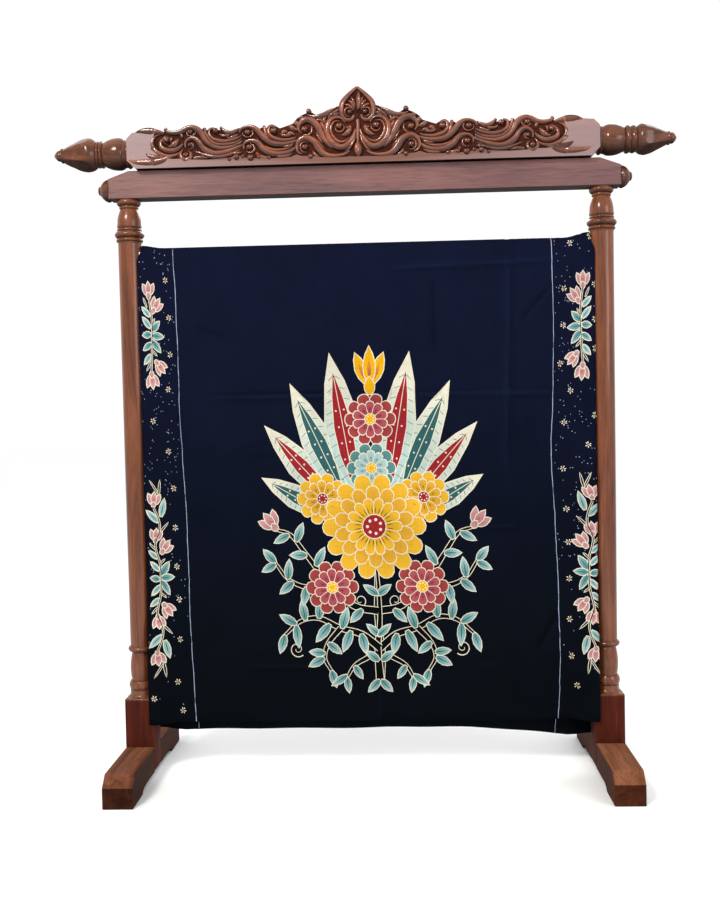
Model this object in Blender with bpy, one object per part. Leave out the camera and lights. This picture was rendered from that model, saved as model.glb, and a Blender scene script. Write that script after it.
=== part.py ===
"""A hand-drawn batik cloth doubled over the rod of its carved wooden display stand.

Metres, +Z up. The origin is on the floor, midway between the two posts. The cloth's face looks along -Y.
"""

import math

import bmesh
import bpy
from mathutils import Vector

GAP = 0.0003  # between pieces that touch
ARRIS = 0.0015  # sawn edges are eased this far
ROUND_SIDES = 16

# Posts: a turned shaft over a square block that stands between the two arms of its foot
POST_X = 0.570
BLOCK_HALF = 0.0352
BLOCK_TOP = 0.192
BLOCK_EASE = 0.002
BLOCK_LIFT = 0.002  # the block ends this far above the floor and the foot's arch
SHAFT_RADIUS = 0.0275  # where the rod enters
SOCKET_DEPTH = 0.018
SOCKET_PLAY = 0.0003
SOCKET_CUT = 0.050
ROD_END_PLAY = 0.001

# Sled feet
FOOT_LENGTH = 0.500
FOOT_HALF_WIDTH = 0.0348
FOOT_TOP = 0.0735
FOOT_FACE_TOP = 0.048
FOOT_CHAMFER = 0.027
FOOT_PAD = 0.088
FOOT_ARCH = 0.012
FOOT_ARCH_RUN = 0.030  # the arch rises over this length, most of it in the first part
FOOT_ARCH_FIRST_RUN = 0.012
FOOT_ARCH_FIRST_SHARE = 0.7

# Rail
RAIL_HALF_LENGTH = 0.6135
RAIL_HALF_DEPTH = 0.024
RAIL_BOTTOM = 1.405
RAIL_TOP = 1.471
RAIL_SLOPE_RUN = 0.050
RAIL_SLOPE_DROP = 0.018

# Carved crest: a square baulk with the carved board rising from its front
CREST_HALF_LENGTH = 0.561
CREST_HALF_DEPTH = 0.044
CREST_BOARD_BACK = 0.010
CREST_BOTTOM = RAIL_TOP + GAP
CREST_BAULK_TOP = 0.080  # above the crest's bottom
CREST_MIDDLE = -0.008  # the carver's centre line lies this far to one side
CREST_END_TOP = 0.0845
CREST_TOP_CHAMFER = 0.014
CREST_LOW_CHAMFER = 0.020
CREST_CUT_HALF = 0.7  # the cutter behind the board reaches past all of it
CREST_CUT_HIGH = 0.3
CREST_CUT_BACK = 0.1
FINIAL_AXIS = 0.0455  # above the crest's bottom

# Rod under the cloth
ROD_RADIUS = 0.0135
ROD_Z = 1.273

# Cloth, measured flat
CLOTH_THICK = 0.0012
CLOTH_SEAT = 0.0006  # over the rod, where the cloth's facets cut inside its curve
CLOTH_HALF_WIDTH = 0.575
BORDER_WIDTH = 0.115
BORDER_FORWARD = (0.30, 0.86)  # shares of the border over which it comes forward to its edge
CORNER_RISE = (0.35, 1.0)  # shares over which a top corner lifts
HANGING_RUN = 0.08  # below the bend, the folds begin over this length
FRONT_HEM_Z = 0.128
BACK_HEM_Z = 0.1005
BACK_HEM_SAG = 0.024  # the back layer's right corner hangs lower

# Turned profiles. Each row: length, radius at its start, radius at its end, bulge outwards at its middle
POST_TURNINGS = (
    (0.0137, 0.0255, 0.0250, 0.0040),
    (0.0085, 0.0210, 0.0210, 0.0022),
    (0.0390, 0.0205, 0.0285, 0.0026),
    (0.0075, 0.0295, 0.0270, 0.0010),
    (0.0070, 0.0280, 0.0280, 0.0020),
    (0.0165, 0.0300, 0.0300, 0.0057),
    (0.0100, 0.0290, 0.0290, 0.0034),
    (0.0040, 0.0290, 0.0280, 0.0),
    (0.9815, 0.0280, 0.0252, 0.0),
    (0.0130, 0.0270, 0.0270, 0.0040),
    (0.0060, 0.0225, 0.0225, -0.0008),
    (0.0660, 0.0225, 0.0240, 0.0035),
    (0.0230, 0.0270, 0.0270, 0.0035),
    (0.0100, 0.0280, 0.0285, 0.0),
    (0.0070, 0.0285, 0.0345, -0.0010),
)
KNOB_TURNINGS = (
    (0.0040, 0.0260, 0.0275, 0.0),
    (0.0200, 0.0275, 0.0110, 0.0035),
    (0.0050, 0.0100, 0.0060, 0.0022),
)
LEFT_FINIAL_TURNINGS = (
    (0.0070, 0.0335, 0.0335, 0.0020),
    (0.0080, 0.0320, 0.0330, 0.0),
    (0.0120, 0.0340, 0.0385, 0.0010),
    (0.0385, 0.0385, 0.0275, 0.0032),
    (0.0080, 0.0290, 0.0290, 0.0035),
    (0.0085, 0.0285, 0.0285, 0.0035),
    (0.0200, 0.0300, 0.0400, 0.0020),
    (0.0370, 0.0400, 0.0285, 0.0025),
    (0.0250, 0.0285, 0.0165, 0.0010),
    (0.0050, 0.0165, 0.0175, 0.0005),
    (0.0180, 0.0125, 0.0030, 0.0045),
)
RIGHT_FINIAL_TURNINGS = (
    (0.0080, 0.0330, 0.0330, 0.0020),
    (0.0080, 0.0315, 0.0330, 0.0),
    (0.0120, 0.0335, 0.0370, 0.0010),
    (0.0360, 0.0370, 0.0275, 0.0030),
    (0.0130, 0.0300, 0.0300, 0.0035),
    (0.0140, 0.0295, 0.0295, 0.0035),
    (0.0180, 0.0290, 0.0375, 0.0020),
    (0.0300, 0.0375, 0.0270, 0.0015),
    (0.0260, 0.0270, 0.0150, 0.0000),
    (0.0050, 0.0150, 0.0165, 0.0005),
    (0.0170, 0.0120, 0.0040, 0.0050),
)
TURNING_STEPS = 4

# Top outline of half of the crest. Each row: distance from the carver's centre line, height above the crest's bottom
CREST_OUTLINE = (
    (0.0000, 0.1787),
    (0.0090, 0.1690),
    (0.0200, 0.1590),
    (0.0320, 0.1500),
    (0.0380, 0.1400),
    (0.0500, 0.1375),
    (0.0640, 0.1290),
    (0.0780, 0.1205),
    (0.0880, 0.1190),
    (0.1010, 0.1215),
    (0.1100, 0.1270),
    (0.1150, 0.1330),
    (0.1215, 0.1245),
    (0.1330, 0.1200),
    (0.1450, 0.1120),
    (0.1540, 0.1010),
    (0.1680, 0.0965),
    (0.1850, 0.0910),
    (0.1930, 0.0955),
    (0.2020, 0.0960),
    (0.2110, 0.0895),
    (0.2240, 0.0955),
    (0.2400, 0.0895),
    (0.2590, 0.0925),
    (0.2800, 0.0910),
    (0.3030, 0.0855),
    (0.3190, 0.0925),
    (0.3370, 0.0910),
    (0.3600, 0.0925),
    (0.3750, 0.0870),
    (0.3930, 0.0930),
    (0.4260, 0.0880),
    (0.4610, 0.0910),
    (0.4720, 0.0857),
    (0.5000, 0.0915),
)

# Where the cloth's lengthwise lines hang. Each row: height, left edge, left line, right line, right edge
CLOTH_PLACES = (
    (1.300, -0.5485, -0.4620, 0.4490, 0.5485),
    (1.140, -0.5480, -0.4595, 0.4500, 0.5480),
    (0.920, -0.5475, -0.4555, 0.4460, 0.5475),
    (0.780, -0.5470, -0.4510, 0.4415, 0.5470),
    (0.610, -0.5465, -0.4460, 0.4465, 0.5460),
    (0.420, -0.5455, -0.4420, 0.4525, 0.5455),
    (0.280, -0.5450, -0.4395, 0.4565, 0.5450),
    (0.230, -0.5450, -0.4380, 0.4540, 0.5450),
    (0.060, -0.5445, -0.4360, 0.4440, 0.5440),
)
# How far in front of the rod's axis each side edge hangs, to pass the post. Each row: height, depth
EDGE_DEPTHS = ((1.240, 0.0212), (0.400, 0.0225), (0.330, 0.0335), (0.230, 0.0390), (0.060, 0.0390))
# Soft upright folds of the front layer. Each row: top x, top z, foot x, foot z, half width, depth
FRONT_FOLDS = (
    (-0.400, 0.480, -0.410, 0.060, 0.035, -0.0050),
    (-0.330, 0.700, -0.315, 0.060, 0.055, 0.0070),
    (-0.160, 0.950, -0.120, 0.060, 0.080, 0.0080),
    (0.010, 0.400, 0.000, 0.060, 0.045, 0.0050),
    (0.120, 0.700, 0.135, 0.060, 0.060, 0.0060),
    (0.162, 1.260, 0.170, 0.750, 0.060, 0.0040),
    (0.260, 1.000, 0.300, 0.060, 0.075, 0.0085),
    (0.345, 1.270, 0.337, 0.600, 0.045, 0.0035),
    (0.470, 0.480, 0.390, 0.160, 0.045, 0.0050),
)
BACK_FOLDS = (
    (-0.360, 0.800, -0.380, 0.040, 0.070, 0.0080),
    (-0.180, 1.100, -0.200, 0.040, 0.080, 0.0060),
    (0.020, 0.750, 0.050, 0.040, 0.070, 0.0085),
    (0.240, 1.000, 0.210, 0.040, 0.080, 0.0060),
    (0.410, 0.700, 0.400, 0.040, 0.060, 0.0090),
)
FOLD_FADE = 0.22  # height over which a fold begins
POST_CLEARANCE = 0.0305  # from a post's axis to the cloth where it passes the shaft
PASSING_RUN = 0.045  # length of cloth from the rod's top to where its edges have passed the posts
CORNER_LIFTS = {-1: 0.007, 1: 0.012}  # the top corners stand up off the rod
TURNED_BACK = 0.020  # the right edge's strip turned behind, low down
TURN_RADIUS = 0.003
TURN_TOP = 0.780
TURN_FULL = 0.620

# The cloth's grid: flat distances from its middle to each column, and from the rod's top to each row
LINE_COLUMNS = 19
BORDER_COLUMNS = (0.25, 0.42, 0.55, 0.67, 0.78, 0.89, 1.0)
TURN_COLUMNS = (0.2, 0.4, 0.6, 0.8, 1.0)
BEND_STEPS = 5
PASSING_ROWS = (0.0300, 0.0380, 0.0480, 0.0680, 0.1000)
DROP_ROWS = 13

COLOURS = {
    "batik_cloth": (0.009, 0.015, 0.031, 1.0),
    "wood": (0.230, 0.085, 0.040, 1.0),
}


def remove_all():
    for obj in list(bpy.data.objects):
        bpy.data.objects.remove(obj)


def material(name, colour, roughness):
    made = bpy.data.materials.new(name)
    made.use_nodes = True
    shader = made.node_tree.nodes["Principled BSDF"]
    shader.inputs["Base Color"].default_value = colour
    shader.inputs["Roughness"].default_value = roughness
    shader.inputs["Metallic"].default_value = 0.0
    return made


def object_of(name, mesh_data, look):
    mesh = bpy.data.meshes.new(name)
    bmesh.ops.recalc_face_normals(mesh_data, faces=mesh_data.faces)
    mesh_data.to_mesh(mesh)
    mesh_data.free()
    mesh.materials.append(look)
    obj = bpy.data.objects.new(name, mesh)
    bpy.context.scene.collection.objects.link(obj)
    return obj


def smooth(low, high, value):
    share = min(max((value - low) / (high - low), 0.0), 1.0)
    return share * share * (3 - 2 * share)


def ring_points(radius, square_half=None):
    """Points round a circle, or round a square whose corners lie at every 45 degrees."""
    points = []
    for step in range(ROUND_SIDES):
        angle = 2 * math.pi * step / ROUND_SIDES
        x, y = math.cos(angle), math.sin(angle)
        size = radius if square_half is None else square_half / max(abs(x), abs(y))
        points.append((size * x, size * y))
    return points


def turned_rings(turnings, start):
    """(distance along the axis, radius) down a turned profile."""
    rings = []
    for length, radius, end_radius, bulge in turnings:
        steps = TURNING_STEPS if bulge else 1
        for step in range(steps + 1):
            share = step / steps
            round_out = bulge * math.sin(math.pi * share)
            rings.append((start + length * share, radius + (end_radius - radius) * share + round_out))
        start += length
    return rings


def lofted(rings, place):
    """A closed body through rings of points. place turns (across, across, along) into a point."""
    data = bmesh.new()
    rows = []
    for along, points in rings:
        rows.append([data.verts.new(place(a, b, along)) for a, b in points])
    for row, next_row in zip(rows, rows[1:]):
        for step in range(ROUND_SIDES):
            after = (step + 1) % ROUND_SIDES
            data.faces.new((row[step], row[after], next_row[after], next_row[step]))
    data.faces.new(rows[0])
    data.faces.new(rows[-1])
    bmesh.ops.triangulate(data, faces=[face for face in data.faces if len(face.verts) > 4])
    return data


def shade_round(obj):
    obj.data.shade_smooth()
    obj.data.set_sharp_from_angle(angle=math.radians(35))


def extruded(outline, place, low, high):
    """A prism: outline's points stand at low and at high along the third direction of place."""
    data = bmesh.new()
    ends = [[data.verts.new(place(a, b, depth)) for a, b in outline] for depth in (low, high)]
    count = len(outline)
    for step in range(count):
        after = (step + 1) % count
        data.faces.new((ends[0][step], ends[0][after], ends[1][after], ends[1][step]))
    data.faces.new(ends[0])
    data.faces.new(ends[1])
    return data


def soften(obj, width):
    bevel = obj.modifiers.new("eased edges", "BEVEL")
    bevel.width = width
    bevel.segments = 1
    bevel.limit_method = "ANGLE"
    bevel.angle_limit = math.radians(50)


def cut(obj, cutter, name):
    cutter.hide_render = True
    cutter.display_type = "WIRE"
    boolean = obj.modifiers.new(name, "BOOLEAN")
    boolean.operation = "DIFFERENCE"
    boolean.solver = "EXACT"
    boolean.object = cutter


def make_posts(look):
    for name, side in (("post_left", -1), ("post_right", 1)):
        start = -(RAIL_BOTTOM - GAP)
        rings = [(along, ring_points(radius)) for along, radius in turned_rings(POST_TURNINGS, start)]
        rings.append((-BLOCK_TOP, ring_points(None, BLOCK_HALF - BLOCK_EASE)))
        rings.append((-BLOCK_TOP + BLOCK_EASE, ring_points(None, BLOCK_HALF)))
        rings.append((-FOOT_ARCH - BLOCK_LIFT, ring_points(None, BLOCK_HALF)))
        post = object_of(name, lofted(rings, lambda a, b, along: (side * POST_X + a, b, -along)), look)
        shade_round(post)
        bore = ring_points(ROD_RADIUS + SOCKET_PLAY)
        socket = lofted(
            [(0.0, bore), (SOCKET_CUT, bore)],
            lambda a, b, along: (side * (rod_reach() + ROD_END_PLAY - along), a, ROD_Z + b),
        )
        cut(post, object_of(name + "_socket_cutter", socket, look), "rod socket")


def rod_reach():
    """Half the rod's length: it ends inside the post's socket."""
    return POST_X - SHAFT_RADIUS + SOCKET_DEPTH - ROD_END_PLAY


def make_rod(look):
    rings = [(along, ring_points(ROD_RADIUS)) for along in (-rod_reach(), rod_reach())]
    shade_round(object_of("cloth_rod", lofted(rings, lambda a, b, along: (along, a, ROD_Z + b)), look))


def make_feet(look):
    half = FOOT_LENGTH / 2
    inner = BLOCK_HALF + GAP
    outline = (
        (half, 0.0),
        (half, FOOT_FACE_TOP),
        (half - FOOT_CHAMFER, FOOT_TOP),
        (inner, FOOT_TOP),
        (inner, FOOT_ARCH),
        (half - FOOT_PAD - FOOT_ARCH_RUN, FOOT_ARCH),
        (half - FOOT_PAD - FOOT_ARCH_FIRST_RUN, FOOT_ARCH * FOOT_ARCH_FIRST_SHARE),
        (half - FOOT_PAD, 0.0),
    )
    for side_name, side in (("left", -1), ("right", 1)):
        for end_name, end in (("front", -1), ("back", 1)):
            body = extruded(
                outline, lambda a, b, depth: (side * POST_X + depth, end * a, b), -FOOT_HALF_WIDTH, FOOT_HALF_WIDTH
            )
            soften(object_of(f"foot_{side_name}_{end_name}", body, look), ARRIS)


def make_rail(look):
    low, high = RAIL_BOTTOM, RAIL_TOP
    half, run = RAIL_HALF_LENGTH, RAIL_SLOPE_RUN
    outline = (
        (-half, low),
        (half, low),
        (half, high - RAIL_SLOPE_DROP),
        (half - run, high),
        (run - half, high),
        (-half, high - RAIL_SLOPE_DROP),
    )
    body = extruded(outline, lambda a, b, depth: (a, depth, b), -RAIL_HALF_DEPTH, RAIL_HALF_DEPTH)
    soften(object_of("top_rail", body, look), ARRIS)
    knob_z = (low + high - RAIL_SLOPE_DROP) / 2
    for name, side in (("rail_knob_left", -1), ("rail_knob_right", 1)):
        rings = [(a, ring_points(r)) for a, r in turned_rings(KNOB_TURNINGS, half + GAP)]
        shade_round(object_of(name, lofted(rings, lambda a, b, along: (side * along, a, knob_z + b)), look))


def crest_outline():
    """The crest's front outline, anticlockwise from its lower right corner."""
    right_end, left_end = CREST_HALF_LENGTH, -CREST_HALF_LENGTH
    low, top = CREST_BOTTOM, CREST_BOTTOM + CREST_END_TOP
    outline = [(right_end - CREST_LOW_CHAMFER, low), (right_end, low + CREST_LOW_CHAMFER)]
    outline.append((right_end, top - CREST_TOP_CHAMFER))
    outline.append((right_end - CREST_TOP_CHAMFER, top))
    outline += [(CREST_MIDDLE + a, low + b) for a, b in reversed(CREST_OUTLINE)]
    outline += [(CREST_MIDDLE - a, low + b) for a, b in CREST_OUTLINE[1:]]
    outline += [(left_end + CREST_TOP_CHAMFER, top), (left_end, top - CREST_TOP_CHAMFER)]
    outline += [(left_end, low + CREST_LOW_CHAMFER), (left_end + CREST_LOW_CHAMFER, low)]
    return outline


def make_crest(look):
    crest = object_of(
        "crest_board",
        extruded(crest_outline(), lambda a, b, depth: (a, depth, b), -CREST_HALF_DEPTH, CREST_HALF_DEPTH),
        look,
    )
    step = CREST_BOTTOM + CREST_BAULK_TOP
    half, top = CREST_CUT_HALF, step + CREST_CUT_HIGH
    above = ((-half, step), (half, step), (half, top), (-half, top))
    cutter = extruded(above, lambda a, b, depth: (a, depth, b), CREST_BOARD_BACK, CREST_CUT_BACK)
    cut(crest, object_of("crest_back_cutter", cutter, look), "baulk top behind the board")


def make_finials(look):
    axis_z = CREST_BOTTOM + FINIAL_AXIS
    for name, side, turnings in (
        ("finial_left", -1, LEFT_FINIAL_TURNINGS),
        ("finial_right", 1, RIGHT_FINIAL_TURNINGS),
    ):
        rings = [(a, ring_points(r)) for a, r in turned_rings(turnings, CREST_HALF_LENGTH + GAP)]
        shade_round(object_of(name, lofted(rings, lambda a, b, along: (side * along, a, axis_z + b)), look))


def between_rows(rows, height):
    """The columns of a table of heights, read between its rows. Heights run downwards."""
    if height >= rows[0][0]:
        return rows[0][1:]
    for upper, lower in zip(rows, rows[1:]):
        if height >= lower[0]:
            share = smooth(upper[0], lower[0], height)
            return tuple(a + (b - a) * share for a, b in zip(upper[1:], lower[1:]))
    return rows[-1][1:]


def fold_depth(folds, x, height):
    """How far the soft folds push the hanging cloth outwards."""
    depth = 0.0
    for top_x, top_z, foot_x, foot_z, half_width, push in folds:
        middle = foot_x + (top_x - foot_x) * (height - foot_z) / (top_z - foot_z)
        begun = 1 - smooth(top_z - FOLD_FADE, top_z, height)
        depth += push * begun * math.exp(-(((x - middle) / half_width) ** 2))
    return depth


def bend_radius():
    return ROD_RADIUS + CLOTH_SEAT + CLOTH_THICK / 2


def hem_run(across, back):
    """Flat length from the rod's top to the hem."""
    hem = FRONT_HEM_Z
    if back:
        hem = BACK_HEM_Z - BACK_HEM_SAG * smooth(0.2, CLOTH_HALF_WIDTH, across)
    return bend_radius() * math.pi / 2 + ROD_Z - hem


def turned_share(height, side, back):
    """How much of the turned-back strip is folded at this height, from 0 to 1."""
    return 0.0 if back or side < 0 else 1 - smooth(TURN_FULL, TURN_TOP, height)


def cloth_point(across, run, back):
    """A point of the cloth's middle surface, from its flat place: across its width and down from the rod's top."""
    facing = 1 if back else -1
    side = 1 if across > 0 else -1
    radius = bend_radius()
    angle = min(run / radius, math.pi / 2)
    height = ROD_Z + radius * math.cos(angle) - max(run - radius * math.pi / 2, 0.0)
    depth = radius * math.sin(angle)
    folds = BACK_FOLDS if back else FRONT_FOLDS
    hanging = smooth(0.0, HANGING_RUN, run - radius)

    left_edge, left_line, right_line, right_edge = between_rows(CLOTH_PLACES, height)
    (edge_depth,) = between_rows(EDGE_DEPTHS, height)
    line_across = CLOTH_HALF_WIDTH - BORDER_WIDTH
    if abs(across) <= line_across:
        share = (across + line_across) / (2 * line_across)
        x = left_line + (right_line - left_line) * share
        depth += fold_depth(folds, x, height) * hanging
        return Vector((x, facing * depth, height))

    folded = TURNED_BACK * turned_share(height, side, back)
    line, edge = (left_line, left_edge) if side < 0 else (right_line, right_edge)
    passing = smooth(0.0, PASSING_RUN, run)
    top_angle = math.acos((POST_X - abs(edge)) / POST_CLEARANCE)
    if run < PASSING_RUN:
        edge = side * (POST_X - POST_CLEARANCE * math.cos(top_angle * passing))
        edge_depth = max(depth, POST_CLEARANCE * math.sin(top_angle * passing))
    turn_angle = min(folded / TURN_RADIUS, math.pi)
    edge -= side * TURN_RADIUS * math.sin(min(turn_angle, math.pi / 2))
    edge_depth += TURN_RADIUS * (1 - math.cos(turn_angle))

    face_width = BORDER_WIDTH - folded
    share = min((abs(across) - line_across) / face_width, 1.0)
    x = line + (edge - line) * share
    forward = smooth(*BORDER_FORWARD, share)
    depth += fold_depth(folds, x, height) * (1 - forward) * hanging
    depth += (edge_depth - depth) * forward
    height += CORNER_LIFTS[side] * smooth(*CORNER_RISE, share) * (1 - passing)

    beyond = abs(across) - line_across - face_width
    if beyond > 0:
        round_angle = min(beyond / TURN_RADIUS, math.pi)
        x += side * TURN_RADIUS * math.sin(round_angle)
        depth -= TURN_RADIUS * (1 - math.cos(round_angle))
        x -= side * max(beyond - TURN_RADIUS * math.pi, 0.0)
    return Vector((x, facing * depth, height))


def cloth_columns():
    line_across = CLOTH_HALF_WIDTH - BORDER_WIDTH
    columns = [line_across * (2 * step / (LINE_COLUMNS - 1) - 1) for step in range(LINE_COLUMNS)]
    face = BORDER_WIDTH - TURNED_BACK
    right = [line_across + face * share for share in BORDER_COLUMNS]
    right += [line_across + face + TURNED_BACK * share for share in TURN_COLUMNS]
    left = [-line_across - BORDER_WIDTH * share for share in reversed(BORDER_COLUMNS)]
    return left + columns + right


def cloth_rows():
    """(upper run, share of the rest of the drop, back) from the front hem over the rod to the back hem."""
    quarter = bend_radius() * math.pi / 2
    tops = [quarter * (step + 1) / BEND_STEPS for step in range(BEND_STEPS)] + list(PASSING_ROWS)
    rows = [(run, 0.0) for run in tops] + [(tops[-1], (step + 1) / DROP_ROWS) for step in range(DROP_ROWS)]
    front = [(run, share, False) for run, share in reversed(rows)]
    return front + [(0.0, 0.0, False)] + [(run, share, True) for run, share in rows]


def make_cloth(look):
    columns, rows = cloth_columns(), cloth_rows()
    middle = []
    for run, share, back in rows:
        middle.append([cloth_point(a, run + (hem_run(a, back) - run) * share, back) for a in columns])
    data = bmesh.new()
    layers = []
    for offset in (CLOTH_THICK / 2, -CLOTH_THICK / 2):
        layer = []
        for i, row in enumerate(middle):
            above, below = middle[max(i - 1, 0)], middle[min(i + 1, len(rows) - 1)]
            points = []
            for j, point in enumerate(row):
                along = below[j] - above[j]
                sideways = row[min(j + 1, len(row) - 1)] - row[max(j - 1, 0)]
                points.append(data.verts.new(point + along.cross(sideways).normalized() * offset))
            layer.append(points)
        layers.append(layer)
    outer, inner = layers
    last_row, last_column = len(rows) - 1, len(columns) - 1
    for i in range(last_row):
        for j in range(last_column):
            for layer in layers:
                data.faces.new((layer[i][j], layer[i][j + 1], layer[i + 1][j + 1], layer[i + 1][j]))
    for i in (0, last_row):
        for j in range(last_column):
            data.faces.new((outer[i][j], outer[i][j + 1], inner[i][j + 1], inner[i][j]))
    for j in (0, last_column):
        for i in range(last_row):
            data.faces.new((outer[i][j], outer[i + 1][j], inner[i + 1][j], inner[i][j]))
    cloth = object_of("batik_cloth", data, look)
    cloth.data.shade_smooth()


def main():
    remove_all()
    wood = material("varnished teak", COLOURS["wood"], 0.35)
    cotton = material("dyed cotton", COLOURS["batik_cloth"], 0.8)
    make_posts(wood)
    make_feet(wood)
    make_rod(wood)
    make_rail(wood)
    make_crest(wood)
    make_finials(wood)
    make_cloth(cotton)


main()
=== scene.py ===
import math
import random

import bmesh
import bpy
from bpy.props import FloatProperty, FloatVectorProperty, IntProperty, PointerProperty
from mathutils import Matrix, Vector, noise
from mathutils.geometry import delaunay_2d_cdt


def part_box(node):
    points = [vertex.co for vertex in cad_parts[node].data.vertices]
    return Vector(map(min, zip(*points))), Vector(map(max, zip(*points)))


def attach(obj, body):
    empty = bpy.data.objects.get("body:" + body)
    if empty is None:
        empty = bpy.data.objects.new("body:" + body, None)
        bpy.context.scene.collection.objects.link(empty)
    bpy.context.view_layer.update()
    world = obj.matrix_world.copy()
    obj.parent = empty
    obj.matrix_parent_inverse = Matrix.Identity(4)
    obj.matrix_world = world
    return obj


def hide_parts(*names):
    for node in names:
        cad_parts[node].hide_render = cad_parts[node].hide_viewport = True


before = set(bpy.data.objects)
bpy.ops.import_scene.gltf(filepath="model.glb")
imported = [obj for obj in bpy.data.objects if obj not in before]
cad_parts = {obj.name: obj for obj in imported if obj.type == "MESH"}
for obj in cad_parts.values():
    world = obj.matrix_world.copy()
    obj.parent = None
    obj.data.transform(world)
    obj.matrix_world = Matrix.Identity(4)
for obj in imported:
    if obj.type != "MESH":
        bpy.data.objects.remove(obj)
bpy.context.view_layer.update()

bl_info = {
    "name": "Batik cloth on a carved stand",
    "version": (1, 0, 0),
    "blender": (4, 5, 0),
    "location": "3D View > Sidebar > Batik",
    "description": "A hand-drawn batik cloth doubled over the rod of its carved, turned and varnished stand",
    "category": "Object",
}

MM = 0.001


def linear(hex_colour):
    """An sRGB hex value as linear red, green and blue."""
    shares = [int(hex_colour[start : start + 2], 16) / 255 for start in (1, 3, 5)]
    return tuple(c / 12.92 if c <= 0.04045 else ((c + 0.055) / 1.055) ** 2.4 for c in shares)


def smooth(low, high, value):
    share = min(max((value - low) / (high - low), 0.0), 1.0)
    return share * share * (3 - 2 * share)


def mixed(first, second, share):
    return tuple(a + (b - a) * share for a, b in zip(first, second))


# Settings


def colour_setting(name, description, hex_colour):
    return FloatVectorProperty(
        name=name, description=description, default=linear(hex_colour), subtype="COLOR", min=0.0, max=1.0
    )


class StandSettings(bpy.types.PropertyGroup):
    turning_sides: IntProperty(
        name="Turning sides", description="Faces round each turned piece", default=48, min=12, max=96
    )
    carving_ground: FloatProperty(
        name="Carving ground", description="How deep the crest's ground lies behind its front",
        default=0.0065, unit="LENGTH", min=0.002, max=0.02,
    )
    dark_wood: colour_setting("Dark grain", "The wood's dark grain and pores", "#42200f")
    mid_wood: colour_setting("Middle grain", "The wood's usual tone under varnish", "#66381d")
    light_wood: colour_setting("Light grain", "The wood's pale grain", "#7d4a30")


class ClothSettings(bpy.types.PropertyGroup):
    thickness: FloatProperty(
        name="Thickness", description="The cloth's thickness as drawn", default=0.0009, unit="LENGTH",
        min=0.0003, max=0.002,
    )
    line_width: FloatProperty(
        name="Line width", description="Width of the wax line beside each border",
        default=0.0016, unit="LENGTH", min=0.001, max=0.01,
    )
    # the ground and the low ground below: one dye, painted darker towards the hem on both layers and in the
    # borders, as painted shade
    ground: colour_setting("Ground", "The dyed ground of the middle, at the top", "#080d20")
    painted_shade_ground: colour_setting("Low ground", "The same ground near the hem, dyed deepest", "#03060b")
    border_ground: colour_setting("Border ground", "The dyed ground of the borders", "#080c1f")
    cream: colour_setting("Undyed cotton", "Where wax kept the cotton undyed", "#b9b3a0")
    line_blue: colour_setting("Border line", "The pale line beside each border", "#8490a4")
    gold: colour_setting("Gold", "The golden petals", "#bd8f08")
    red: colour_setting("Red", "The red blossoms", "#7a1c22")
    rose: colour_setting("Rose", "The deep pink in the buds", "#8a3440")
    pink: colour_setting("Pink", "The pale pink of the buds", "#a4787a")
    teal: colour_setting("Teal", "The deep side of the leaves", "#34686a")
    pale_teal: colour_setting("Pale teal", "The pale side of the leaves", "#83a09f")
    black: colour_setting("Black", "Stems and vein lines", "#040507")


class StageSettings(bpy.types.PropertyGroup):
    focal_length: FloatProperty(
        name="Focal length", description="Of the camera, in millimetres", default=42.0, min=20.0, max=120.0
    )
    light_power: FloatProperty(
        name="Light power", description="Of the key light", default=130.0, unit="POWER", min=1.0, max=2000.0
    )
    floor_colour: colour_setting("Floor", "The plain pale floor", "#fafafa")


# Modelling helpers


def deselect():
    if bpy.context.mode != "OBJECT":
        bpy.ops.object.mode_set(mode="OBJECT")
    bpy.ops.object.select_all(action="DESELECT")


def only(obj):
    deselect()
    obj.select_set(True)
    bpy.context.view_layer.objects.active = obj


def settle(obj, name):
    """The finished piece's place goes into its mesh, and its object to the origin."""
    only(obj)
    bpy.ops.object.transform_apply(location=True, rotation=True, scale=True)
    obj.name = name
    obj.data.name = name
    return obj


def shade(obj, degrees=35):
    only(obj)
    bpy.ops.object.shade_smooth_by_angle(angle=math.radians(degrees))


def joined(objects, name):
    deselect()
    for obj in objects:
        obj.select_set(True)
    bpy.context.view_layer.objects.active = objects[0]
    bpy.ops.object.join()
    return settle(objects[0], name)


def copied(obj, name, shift):
    """A copy with its own mesh, moved by shift."""
    twin = obj.copy()
    twin.data = obj.data.copy()
    bpy.context.scene.collection.objects.link(twin)
    twin.location = shift
    return settle(twin, name)


def finish(obj, look, slot, *nodes):
    obj.data.materials.clear()
    obj.data.materials.append(look)
    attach(obj, "root")
    if nodes:
        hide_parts(*nodes)
    return obj


def object_from(name, data):
    mesh = bpy.data.meshes.new(name)
    data.to_mesh(mesh)
    data.free()
    obj = bpy.data.objects.new(name, mesh)
    bpy.context.scene.collection.objects.link(obj)
    return obj


def turning_rings(turnings, start, steps=9, groove=0.0006):
    """(distance, radius) down a turned profile, with a fine groove cut between its members."""
    rings = []
    for length, radius, end_radius, bulge in turnings:
        count = steps if bulge else 2
        for step in range(count + 1):
            share = step / count
            round_out = bulge * math.sin(math.pi * share)
            rings.append((start + length * share, radius + (end_radius - radius) * share + round_out))
        start += length
        rings.append((start, min(rings[-1][1], end_radius) - groove))
    return rings


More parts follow.
